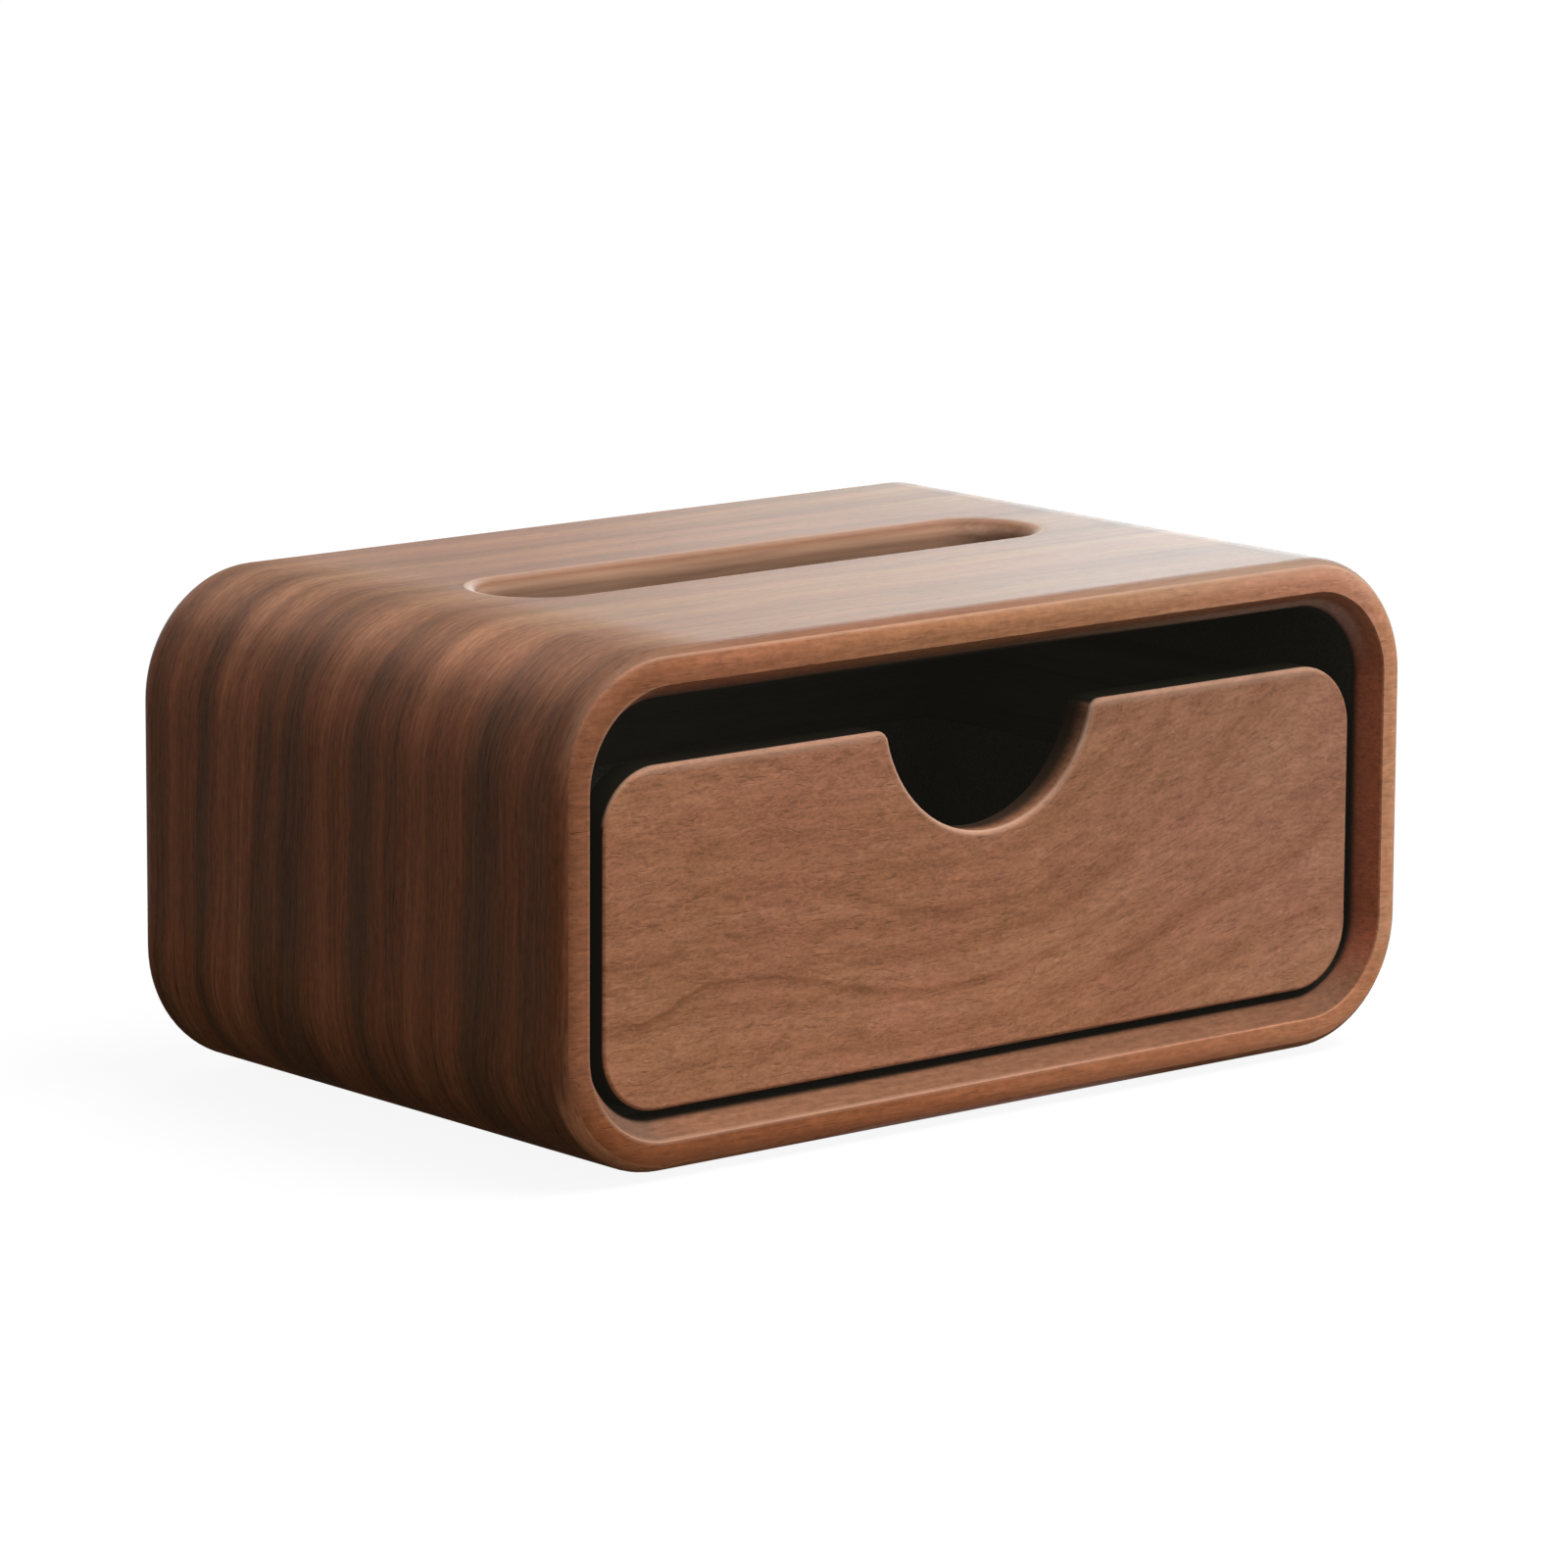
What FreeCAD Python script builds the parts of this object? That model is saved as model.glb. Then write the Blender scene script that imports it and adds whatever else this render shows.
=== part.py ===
import FreeCAD, Part
import math
import os

# Tissue box with a drawer: a round-cornered walnut case with a long slot in
# its top, and a black-lined tray behind a walnut front with a finger notch.
#
# Frame: millimetres, +Z up, origin at the middle of the footprint on the plane
# that the feet stand on. +X is to the right of a person facing the drawer, and
# the drawer pulls out towards -Y.

# ---- case ------------------------------------------------------------------
box_width = 240.0          # X, outside
box_depth = 148.0          # Y, outside
shell_height = 110.0       # Z, outside, without the feet
corner_radius = 28.0       # long outer corners, which run front to back
edge_round = 5.0           # rounding of the outer front and rear edges
veneer_thick = 0.6
core_thick = 8.4
lining_thick = 1.5         # black felt inside the case
rim_depth = 6.0            # Y, front and rear rims
rim_flat = 7.0             # outside of the case to the start of the front bevel,
                           # which slopes in to the throat over the rim's whole depth
throat_step = 0.5          # lining to the throat of the rim, which stands proud of it
rear_rebate = 5.5          # outside of the case to the edge of the back panel
back_recess = 2.0          # rear face of the case to the back panel
back_thick = 6.0
spline_width = 8.0         # loose tongues that join the two halves of the shell
spline_thick = 2.0
foot_radius = 7.0
foot_height = 1.5
foot_inset_x = 40.0        # foot centre from the side of the case
foot_inset_y = 22.0        # foot centre from the front and rear of the case

# ---- tissue slot -----------------------------------------------------------
slot_length = 150.0        # X, clear
slot_width = 25.0          # Y, clear
slot_offset = 6.5          # slot centre behind the middle of the case
lipping_thick = 4.0
lipping_round = 3.5

# ---- drawer front ----------------------------------------------------------
front_recess = 4.0         # face of the rim to the face of the drawer front
front_thick = 8.0
front_gap_side = 2.8       # drawer front to the throat of the rim
front_gap_bottom = 1.8
front_gap_top = 13.4
front_round = 1.0          # rounding of the front edges
notch_radius = 29.6
notch_rise = 4.6           # centre of the notch's arc above the front's top edge
notch_corner = 3.0

# ---- tray ------------------------------------------------------------------
board_thick = 5.0
tray_corner_gap = 1.4      # lower outer edge of the tray to the round lining
tray_side_height = 60.0
bottom_thick = 3.0
bottom_lift = 2.5          # lower edge of the sides to the bottom panel
groove_depth = 2.5         # how far the bottom panel enters sides and front
dowel_radius = 1.5
dowel_length = 13.0
dowel_in_front = 5.0       # how far a dowel enters the drawer front
tray_felt = 1.0
wall_felt_drop = 4.0       # top edge of a tray side to the top of the felt

# ---- guidance --------------------------------------------------------------
running_gap = 0.3
runner_width = 10.0
runner_front_gap = 1.0     # drawer front to the runners and rails
guide_height = 46.0        # guide rail, without its lip
lip_reach = 6.0            # how far the lip reaches over a tray side
lip_thick = 6.0
buffer_radius = 6.0
buffer_thick = 3.0
rail_rear_gap = 4.0        # rear ends of the runners and rails to the lining

# ---- worked out ------------------------------------------------------------
half_width = box_width / 2.0
y_front = -box_depth / 2.0
y_rear = box_depth / 2.0
z_floor = foot_height
z_top = foot_height + shell_height
z_mid = foot_height + shell_height / 2.0
core_inset = veneer_thick + core_thick
lining_inset = core_inset + lining_thick
throat_inset = lining_inset + throat_step
y_shell_front = y_front + rim_depth
y_shell_rear = y_rear - rim_depth
y_back_outer = y_rear - back_recess
y_back_inner = y_back_outer - back_thick
y_back_felt = y_back_inner - lining_thick

front_half = half_width - throat_inset - front_gap_side
z_front_low = z_floor + throat_inset + front_gap_bottom
z_front_high = z_top - throat_inset - front_gap_top
front_corner = max(corner_radius - throat_inset - front_gap_side, 2.0 * front_round)
y_front_face = y_front + front_recess
y_front_back = y_front_face + front_thick

z_tray_low = z_front_low + running_gap
# The tray is as wide as its lower edges can be inside the round corners.
corner_drop = max(z_floor + corner_radius - z_tray_low, 0.0)
corner_room = corner_radius - lining_inset - tray_corner_gap
tray_half = half_width - corner_radius + math.sqrt(corner_room ** 2 - corner_drop ** 2)
z_tray_high = z_tray_low + tray_side_height
y_tray_rear = y_back_felt - buffer_thick - running_gap
z_panel_low = z_tray_low + bottom_lift
z_panel_high = z_panel_low + bottom_thick

rail_front = y_front_back + runner_front_gap
rail_rear = y_back_felt - rail_rear_gap
long = 4.0 * box_depth     # a length that outreaches the whole box


# ---- shape helpers ---------------------------------------------------------
def block(x0, x1, y0, y1, z0, z1):
    """A plain board between two opposite corners."""
    return Part.makeBox(x1 - x0, y1 - y0, z1 - z0, FreeCAD.Vector(x0, y0, z0))


def round_bar(x0, x1, z0, z1, radius, y0, y1):
    """A bar along Y whose section is a rectangle with round corners."""
    bar = block(x0, x1, y0, y1, z0, z1)
    if radius <= 0.0:
        return bar
    along_y = [e for e in bar.Edges if abs(e.tangentAt(e.FirstParameter).y) > 0.9]
    return bar.makeFillet(radius, along_y)


def case_bar(inset, y0, y1):
    """The outline of the case, drawn in by an inset, as a solid bar."""
    return round_bar(-half_width + inset, half_width - inset, z_floor + inset,
                     z_top - inset, corner_radius - inset, y0, y1)


def stadium(length, width, z0, z1):
    """An upright solid with a slot-shaped outline at the tissue slot."""
    radius = width / 2.0
    x = length / 2.0 - radius
    near = slot_offset - radius
    far = slot_offset + radius
    outline = Part.Wire([
        Part.makeLine(FreeCAD.Vector(-x, near, z0), FreeCAD.Vector(x, near, z0)),
        Part.Arc(FreeCAD.Vector(x, near, z0), FreeCAD.Vector(x + radius, slot_offset, z0),
                 FreeCAD.Vector(x, far, z0)).toShape(),
        Part.makeLine(FreeCAD.Vector(x, far, z0), FreeCAD.Vector(-x, far, z0)),
        Part.Arc(FreeCAD.Vector(-x, far, z0), FreeCAD.Vector(-x - radius, slot_offset, z0),
                 FreeCAD.Vector(-x, near, z0)).toShape(),
    ])
    return Part.Face(outline).extrude(FreeCAD.Vector(0, 0, z1 - z0))


def rod(x, y, z, radius, length, axis):
    """A round rod from a point along an axis."""
    return Part.makeCylinder(radius, length, FreeCAD.Vector(x, y, z), axis)


def edges_on_plane(shape, y):
    """The edges of a shape that lie wholly in the plane at one Y."""
    found = []
    for edge in shape.Edges:
        box = edge.BoundBox
        if abs(box.YMin - y) < 1e-6 and abs(box.YMax - y) < 1e-6:
            found.append(edge)
    return found


def mirror_x(shape):
    """The same piece on the other side of the box."""
    return shape.mirror(FreeCAD.Vector(0, 0, 0), FreeCAD.Vector(1, 0, 0))


# ---- pieces of the case ----------------------------------------------------
def slot_hole():
    """The hole through the top wall that the lipping fills."""
    return stadium(slot_length + 2.0 * lipping_thick, slot_width + 2.0 * lipping_thick,
                   z_top - 3.0 * lining_inset, z_top + 10.0)


def back_seat():
    """The rebate that the back panel drops into from behind."""
    return case_bar(rear_rebate, y_back_inner, y_rear + 10.0)


def shell_core():
    """Both halves of the moulded shell, before they are parted at mid-height."""
    tube = case_bar(veneer_thick, y_shell_front, y_shell_rear)
    tube = tube.cut(case_bar(core_inset, y_shell_front - 1.0, y_shell_rear + 1.0))
    return tube.cut(slot_hole()).cut(back_seat())


def seam_spline():
    """A loose tongue in the left seam, let into both halves of the shell."""
    x_mid = -half_width + veneer_thick + core_thick / 2.0
    return block(x_mid - spline_thick / 2.0, x_mid + spline_thick / 2.0,
                 y_shell_front, y_back_inner,
                 z_mid - spline_width / 2.0, z_mid + spline_width / 2.0)


def lower_shell():
    """The lower moulded half: floor, two round corners and half of each side."""
    half = shell_core().common(block(-long, long, -long, long, z_floor - 1.0, z_mid))
    return half.cut(seam_spline()).cut(mirror_x(seam_spline()))


def upper_shell():
    """The upper moulded half, with the hole for the tissue slot."""
    half = shell_core().common(block(-long, long, -long, long, z_mid, z_top + 1.0))
    return half.cut(seam_spline()).cut(mirror_x(seam_spline()))


def outer_veneer():
    """The walnut skin that wraps the shell between the two rims."""
    skin = case_bar(0.0, y_shell_front, y_shell_rear)
    skin = skin.cut(case_bar(veneer_thick, y_shell_front - 1.0, y_shell_rear + 1.0))
    return skin.cut(slot_hole())


def front_rim():
    """The front ring: rounded outside, bevelled inwards to the throat."""
    body = case_bar(0.0, y_front, y_shell_front)
    body = body.makeFillet(edge_round, edges_on_plane(body, y_front))
    wide = case_bar(rim_flat, y_front, y_front + 0.001).Faces
    mouth = max(wide, key=lambda f: -f.CenterOfMass.y).OuterWire
    tight = case_bar(throat_inset, y_shell_front, y_shell_front + 0.001).Faces
    throat = max(tight, key=lambda f: -f.CenterOfMass.y).OuterWire
    return body.cut(Part.makeLoft([mouth, throat], True, True))


def rear_rim():
    """The rear ring, rounded outside, open for the back panel."""
    body = case_bar(0.0, y_shell_rear, y_rear)
    body = body.makeFillet(edge_round, edges_on_plane(body, y_rear))
    return body.cut(back_seat())


def slot_lipping():
    """The walnut ring that lines the tissue slot, with a round upper edge."""
    z_low = z_top - lining_inset
    ring = stadium(slot_length + 2.0 * lipping_thick, slot_width + 2.0 * lipping_thick,
                   z_low, z_top)
    ring = ring.cut(stadium(slot_length, slot_width, z_low - 1.0, z_top + 1.0))
    inner = []
    for edge in ring.Edges:
        box = edge.BoundBox
        on_top = abs(box.ZMin - z_top) < 1e-6 and abs(box.ZMax - z_top) < 1e-6
        if on_top and box.YMax < slot_offset + slot_width / 2.0 + 0.1:
            if box.YMin > slot_offset - slot_width / 2.0 - 0.1:
                inner.append(edge)
    return ring.makeFillet(lipping_round, inner)


def back_panel():
    """The flat back, seated in the rebate of the shell and the rear rim."""
    return case_bar(rear_rebate, y_back_inner, y_back_outer)


def case_lining():
    """The black felt on the floor, sides and top of the inside."""
    tube = case_bar(core_inset, y_shell_front, y_back_inner)
    tube = tube.cut(case_bar(lining_inset, y_shell_front - 1.0, y_back_inner + 1.0))
    return tube.cut(slot_hole())


def back_lining():
    """The black felt on the inner face of the back panel."""
    return case_bar(lining_inset, y_back_felt, y_back_inner)


def case_room():
    """The open room inside the lining, which the rails are fitted to."""
    return case_bar(lining_inset, y_shell_front, y_back_felt)


def runner():
    """The left strip on the floor that carries a tray side."""
    bar = block(-tray_half, -tray_half + runner_width, rail_front, rail_rear,
                z_floor, z_tray_low - running_gap)
    return bar.common(case_room())


def guide_rail():
    """The left rail beside the tray, with a lip that keeps the tray down."""
    z_lip = z_tray_high + running_gap
    web = block(-half_width, -tray_half - running_gap, rail_front, rail_rear,
                z_lip + lip_thick - guide_height, z_lip + lip_thick)
    lip = block(-half_width, -tray_half + lip_reach, rail_front, rail_rear,
                z_lip, z_lip + lip_thick)
    return web.fuse(lip).removeSplitter().common(case_room())


def rear_buffers():
    """Two felt buttons on the back lining that the tray closes against."""
    z = z_tray_low + tray_side_height / 2.0
    pads = []
    for side in (-1.0, 1.0):
        pads.append(rod(side * tray_half * 0.7, y_back_felt - buffer_thick, z,
                        buffer_radius, buffer_thick, FreeCAD.Vector(0, 1, 0)))
    return Part.makeCompound(pads)


def foot_pads():
    """Four thin pads under the floor, set in from the edges."""
    pads = []
    for side in (-1.0, 1.0):
        for end in (-1.0, 1.0):
            pads.append(rod(side * (half_width - foot_inset_x),
                            end * (box_depth / 2.0 - foot_inset_y), 0.0,
                            foot_radius, foot_height, FreeCAD.Vector(0, 0, 1)))
    return Part.makeCompound(pads)


# ---- pieces of the drawer --------------------------------------------------
def dowel_heights():
    """The two heights of the dowels at each corner of the tray."""
    low = z_panel_high + (z_tray_high - z_panel_high) * 0.25
    high = z_panel_high + (z_tray_high - z_panel_high) * 0.75
    return (low, high)


def front_dowels():
    """Four pins that join the tray sides to the drawer front."""
    pins = []
    for side in (-1.0, 1.0):
        for z in dowel_heights():
            pins.append(rod(side * (tray_half - board_thick / 2.0),
                            y_front_back - dowel_in_front, z,
                            dowel_radius, dowel_length, FreeCAD.Vector(0, 1, 0)))
    return Part.makeCompound(pins)


def rear_dowels():
    """Four pins through the tray sides into the ends of the tray back."""
    pins = []
    for side in (-1.0, 1.0):
        for z in dowel_heights():
            pins.append(rod(side * tray_half, y_tray_rear - board_thick / 2.0, z,
                            dowel_radius, dowel_length, FreeCAD.Vector(-side, 0, 0)))
    return Part.makeCompound(pins)


def notch():
    """The scooped finger opening, with rounded shoulders at the top edge."""
    centre_z = z_front_high + notch_rise
    y0 = y_front_face - 5.0
    y1 = y_front_back + 5.0
    scoop = rod(0.0, y0, centre_z, notch_radius, y1 - y0, FreeCAD.Vector(0, 1, 0))
    # The shoulder circle touches the top edge from below and the scoop outside.
    reach = notch_radius + notch_corner
    fall = notch_rise + notch_corner
    shoulder_x = math.sqrt(reach * reach - fall * fall)
    touch = notch_radius / reach
    touch_x = shoulder_x * touch
    touch_z = centre_z - fall * touch
    fillers = []
    for side in (-1.0, 1.0):
        ball = rod(side * shoulder_x, y0, z_front_high - notch_corner, notch_corner,
                   y1 - y0, FreeCAD.Vector(0, 1, 0))
        x_near = min(side * touch_x, side * shoulder_x)
        x_far = max(side * touch_x, side * shoulder_x)
        corner = block(x_near, x_far, y0, y1, touch_z, z_front_high + 1.0)
        fillers.append(corner.cut(ball))
    shape = scoop
    for filler in fillers:
        shape = shape.fuse(filler)
    return shape


def drawer_front():
    """The walnut front with its notch, soft edges and housings behind."""
    slab = round_bar(-front_half, front_half, z_front_low, z_front_high, front_corner,
                     y_front_face, y_front_back)
    slab = slab.cut(notch())
    slab = slab.makeFillet(front_round, edges_on_plane(slab, y_front_face))
    return slab.cut(tray_bottom()).cut(front_dowels())


def tray_bottom():
    """The thin panel in the grooves of the sides, the front and the back."""
    x = tray_half - board_thick + groove_depth
    return block(-x, x, y_front_back - groove_depth,
                 y_tray_rear - board_thick + groove_depth, z_panel_low, z_panel_high)


def tray_side():
    """The left side of the tray, with its groove and dowel holes."""
    board = block(-tray_half, -tray_half + board_thick, y_front_back, y_tray_rear,
                  z_tray_low, z_tray_high)
    return board.cut(tray_bottom()).cut(front_dowels()).cut(rear_dowels())


def tray_back():
    """The back of the tray, set between the sides."""
    x = tray_half - board_thick
    board = block(-x, x, y_tray_rear - board_thick, y_tray_rear, z_tray_low, z_tray_high)
    return board.cut(tray_bottom()).cut(rear_dowels())


def tray_base_felt():
    """The black felt on the floor of the tray."""
    x = tray_half - board_thick
    return block(-x, x, y_front_back, y_tray_rear - board_thick,
                 z_panel_high, z_panel_high + tray_felt)


def tray_wall_felt():
    """The band of black felt around the four inner walls of the tray."""
    x = tray_half - board_thick
    z_low = z_panel_high + tray_felt
    z_high = min(z_tray_high - wall_felt_drop,
                 z_front_high + notch_rise - notch_radius - wall_felt_drop)
    band = block(-x, x, y_front_back, y_tray_rear - board_thick, z_low, z_high)
    room = block(-x + tray_felt, x - tray_felt, y_front_back + tray_felt,
                 y_tray_rear - board_thick - tray_felt, z_low - 1.0, z_high + 1.0)
    return band.cut(room)


# ---- every node, one file each ---------------------------------------------
nodes = {
    "upper_shell": upper_shell,
    "lower_shell": lower_shell,
    "seam_spline_left": seam_spline,
    "seam_spline_right": lambda: mirror_x(seam_spline()),
    "outer_veneer": outer_veneer,
    "front_rim": front_rim,
    "rear_rim": rear_rim,
    "slot_lipping": slot_lipping,
    "back_panel": back_panel,
    "case_lining": case_lining,
    "back_lining": back_lining,
    "runner_left": runner,
    "runner_right": lambda: mirror_x(runner()),
    "guide_rail_left": guide_rail,
    "guide_rail_right": lambda: mirror_x(guide_rail()),
    "rear_buffers": rear_buffers,
    "foot_pads": foot_pads,
    "drawer_front": drawer_front,
    "tray_side_left": tray_side,
    "tray_side_right": lambda: mirror_x(tray_side()),
    "tray_back": tray_back,
    "tray_bottom": tray_bottom,
    "front_dowels": front_dowels,
    "rear_dowels": rear_dowels,
    "tray_base_felt": tray_base_felt,
    "tray_wall_felt": tray_wall_felt,
}

os.makedirs("parts", exist_ok=True)
for name, make in nodes.items():
    shape = make()
    shape.exportStep("parts/" + name + ".step")
    print(name, len(shape.Solids), "solid(s)", round(shape.Volume, 1), "mm3", shape.isValid())
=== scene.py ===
# %% [markdown]
# # A walnut tissue box with a drawer
#
# The box is a low case with large round corners and a long slot in its top.
# A black-lined tray slides out of it behind a walnut front with a scooped
# finger notch. Its measured parts come from a packed CAD model, which is
# loaded here and never moved. What Blender adds is the look: the grain of
# four cuts of walnut, black felt, rubber feet, soft light and a camera.

# %% Load the measured model
import math

import bmesh
import bpy
from bmesh.types import BMEdge, BMVert
from mathutils import Matrix, Vector


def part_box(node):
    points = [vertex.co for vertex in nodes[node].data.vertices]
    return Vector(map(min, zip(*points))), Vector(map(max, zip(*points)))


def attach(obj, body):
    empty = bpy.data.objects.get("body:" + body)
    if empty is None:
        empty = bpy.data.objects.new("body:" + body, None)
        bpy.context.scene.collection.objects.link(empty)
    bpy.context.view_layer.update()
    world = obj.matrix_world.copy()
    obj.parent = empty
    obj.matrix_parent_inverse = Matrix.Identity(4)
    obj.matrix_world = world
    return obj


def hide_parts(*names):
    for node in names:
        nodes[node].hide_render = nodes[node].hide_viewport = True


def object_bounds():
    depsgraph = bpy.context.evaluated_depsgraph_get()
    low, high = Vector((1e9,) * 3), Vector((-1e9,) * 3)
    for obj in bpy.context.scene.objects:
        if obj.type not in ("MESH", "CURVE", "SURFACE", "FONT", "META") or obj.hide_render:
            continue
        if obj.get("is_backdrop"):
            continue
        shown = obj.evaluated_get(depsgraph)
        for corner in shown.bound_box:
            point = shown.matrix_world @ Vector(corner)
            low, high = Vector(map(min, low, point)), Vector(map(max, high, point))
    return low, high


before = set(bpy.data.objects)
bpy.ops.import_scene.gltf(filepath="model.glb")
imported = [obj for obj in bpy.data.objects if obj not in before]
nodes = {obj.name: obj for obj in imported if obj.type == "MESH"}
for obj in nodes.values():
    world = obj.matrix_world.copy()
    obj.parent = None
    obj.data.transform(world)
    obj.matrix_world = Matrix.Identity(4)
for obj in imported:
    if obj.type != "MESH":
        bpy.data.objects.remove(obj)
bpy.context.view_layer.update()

MM = 0.001
print("nodes:", len(nodes))

# %% [markdown]
# The sizes that the finishes need are read from the model, so a size can't
# drift away from the piece that it belongs to. Only the radius of the long
# round corners and the rounding of the rims are written again here.

# %% Sizes of the case
case_low, case_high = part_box("outer_veneer")
CASE_MIDDLE = (case_low + case_high) / 2
CASE_HALF = (case_high - case_low) / 2
CORNER_RADIUS = 28 * MM
RIM_ROUND = 5 * MM
CASE_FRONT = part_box("front_rim")[0].y
CASE_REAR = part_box("rear_rim")[1].y
print("case half sizes in mm:", [round(v / MM, 1) for v in CASE_HALF])

# %% [markdown]
# Shader maths reads badly as a tangle of nodes, so a small class wraps a
# node's output and lets it be added, multiplied and compared like a number.
# Each operation adds the Math node that does it. The swapped ones let a plain
# number come first.

# %% A socket that can be used like a number
def maths(operation, swapped=False):
    """A method that adds the Math node of one operation."""
    def method(self, *others):
        inputs = [*others, self] if swapped else [self, *others]
        return self.finish.node("Math", inputs, operation=operation)
    return method


class Wire:
    """The output of a shader node, with the arithmetic of a number."""

    __add__ = maths("ADD")
    __radd__ = maths("ADD", swapped=True)
    __sub__ = maths("SUBTRACT")
    __rsub__ = maths("SUBTRACT", swapped=True)
    __mul__ = maths("MULTIPLY")
    __rmul__ = maths("MULTIPLY", swapped=True)
    __truediv__ = maths("DIVIDE")
    __pow__ = maths("POWER")
    __abs__ = maths("ABSOLUTE")
    root = maths("SQRT")
    exponent = maths("EXPONENT")
    fraction = maths("FRACT")
    sign = maths("SIGN")
    arctan2 = maths("ARCTAN2")
    at_least = maths("MAXIMUM")
    at_most = maths("MINIMUM")

    def __init__(self, finish, socket):
        self.finish = finish
        self.socket = socket

    def rising(self, low, high):
        """0 below low, 1 above high, and smooth between them."""
        inputs = {"Value": self, "From Min": low, "From Max": high}
        return self.finish.node("MapRange", inputs, interpolation_type="SMOOTHSTEP")

    def falling(self, low, high):
        """1 below low, 0 above high, and smooth between them."""
        return 1 - self.rising(low, high)

    def line(self, width):
        """1 at a value of 0, and less to both sides, down to 0 at the width."""
        return (1 - abs(self) / width).at_least(0)


print("a wire can also be:", [name for name in vars(Wire) if name[0] != "_"])

# %% [markdown]
# A finish is one material. Its node method is the only place that makes a
# node: it takes the type, the inputs and the settings, sets the settings
# first, and gives back an output as a Wire. The other methods are short names
# for what every wood and cloth needs: a point's place, noise, a ramp, a mix.

# %% A finish, which is a material made of nodes
class Finish:
    """One material or world, with a single method that adds a node of any type."""

    def __init__(self, name, holder=bpy.data.materials):
        self.owner = holder.new(name)
        self.owner.use_nodes = True
        self.tree = self.owner.node_tree
        self.tree.nodes.clear()

    def node(self, kind, inputs=(), output=0, **settings):
        """Adds a node, sets it up, fills its inputs and gives one output."""
        made = self.tree.nodes.new("ShaderNode" + kind)
        for name, value in settings.items():
            if name == "stops":
                self.set_stops(made.color_ramp, value)
            elif name == "easing":
                made.color_ramp.interpolation = value
            else:
                setattr(made, name, value)
        pairs = inputs.items() if isinstance(inputs, dict) else enumerate(inputs)
        for name, value in pairs:
            if isinstance(value, Wire):
                self.tree.links.new(value.socket, made.inputs[name])
            else:
                made.inputs[name].default_value = value
        return Wire(self, made.outputs[output]) if made.outputs else None

    @staticmethod
    def set_stops(ramp, stops):
        """Fills a colour ramp with (place, colour) pairs, lowest place first."""
        while len(ramp.elements) < len(stops):
            ramp.elements.new(1)
        for element, (place, colour) in zip(ramp.elements, stops):
            element.position = place
            element.color = (*colour, 1.0)

    def place(self):
        """The x, y and z of a point on the piece, in metres."""
        spot = self.node("TexCoord", output="Object")
        parts = self.node("SeparateXYZ", [spot])
        return [Wire(self, part) for part in parts.socket.node.outputs]

    def vector(self, x, y, z):
        """Three numbers as one vector."""
        return self.node("CombineXYZ", [x, y, z])

    def noise(self, x, y, z, detail=2, roughness=0.5, distortion=0):
        """Soft random values around 0.5. Each axis already has its own scale."""
        inputs = {"Vector": self.vector(x, y, z), "Scale": 1, "Detail": detail,
                  "Roughness": roughness, "Distortion": distortion}
        return self.node("TexNoise", inputs)

    def colours(self, value, stops, easing="LINEAR"):
        """A colour for each value, from (value, colour) pairs, lowest value first."""
        low, high = stops[0][0], stops[-1][0]
        scaled = [((place - low) / (high - low), colour) for place, colour in stops]
        inputs = [(value - low) / (high - low)]
        return self.node("ValToRGB", inputs, stops=scaled, easing=easing)

    def levels(self, value, stops):
        """A number for each value, with soft changes between the stops."""
        top = max(level for place, level in stops)
        greys = [(place, (level / top,) * 3) for place, level in stops]
        return self.node("RGBToBW", [self.colours(value, greys, "EASE")]) * top

    def blend(self, amount, first, second, mode="MIX"):
        """Mixes two colours."""
        inputs = {0: amount, 6: first, 7: second}
        return self.node("Mix", inputs, output=2, data_type="RGBA", blend_type=mode)

    def tinted(self, colour, tint, amount=1):
        """A colour multiplied by a tint, or partly so where amount is below 1."""
        return self.blend(amount, colour, tint, "MULTIPLY")

    def shaded(self, colour, amount):
        """A colour made lighter or darker by a number around 1."""
        return self.tinted(colour, self.vector(amount, amount, amount))

    def surface(self, colour, roughness, height=None, relief=0, **constants):
        """Ends the finish in one Principled shader, with bumps where it has any."""
        inputs = {"Base Color": colour, "Roughness": roughness}
        inputs.update({name.replace("_", " "): value for name, value in constants.items()})
        if height is not None:
            inputs["Normal"] = self.node("Bump", {"Distance": relief, "Height": height})
        shader = self.node("BsdfPrincipled", inputs)
        self.node("OutputMaterial", [shader])
        return self.owner


def finish_node(name, material):
    """Puts one finish on a piece of the CAD model."""
    slots = nodes[name].data.materials
    slots.clear()
    slots.append(material)


print("a finish can:", [name for name in vars(Finish) if name[0] != "_"])

# %% [markdown]
# The skin of the case is one leaf of veneer, wrapped around it with the grain
# running round the box. A flat pattern would have to be bent over the corners.
# Instead each point works out how far it lies along the leaf, from the flat
# stretch and the turn of the corner that it has passed, so the stripes flow
# over the corners as the fibres do. The ends of the leaf meet underneath.

# %% Distance along the wrapped leaf
def along_the_wrap(x, z):
    """Metres from the middle of the top, around the case to a point."""
    flat_x = CASE_HALF.x - CORNER_RADIUS
    flat_z = CASE_HALF.z - CORNER_RADIUS
    side = abs(x)
    up = z - CASE_MIDDLE.z
    near_x = side.at_most(flat_x)
    near_z = up.at_most(flat_z).at_least(-flat_z)
    turn = (side - near_x).arctan2(up - near_z)
    run = near_x + turn * CORNER_RADIUS + (flat_z - near_z)
    return run * x.sign()


leaf_length = 4 * (CASE_HALF.x + CASE_HALF.z) - (8 - 2 * math.pi) * CORNER_RADIUS
print("leaf around the case, mm:", round(leaf_length / MM))

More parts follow.
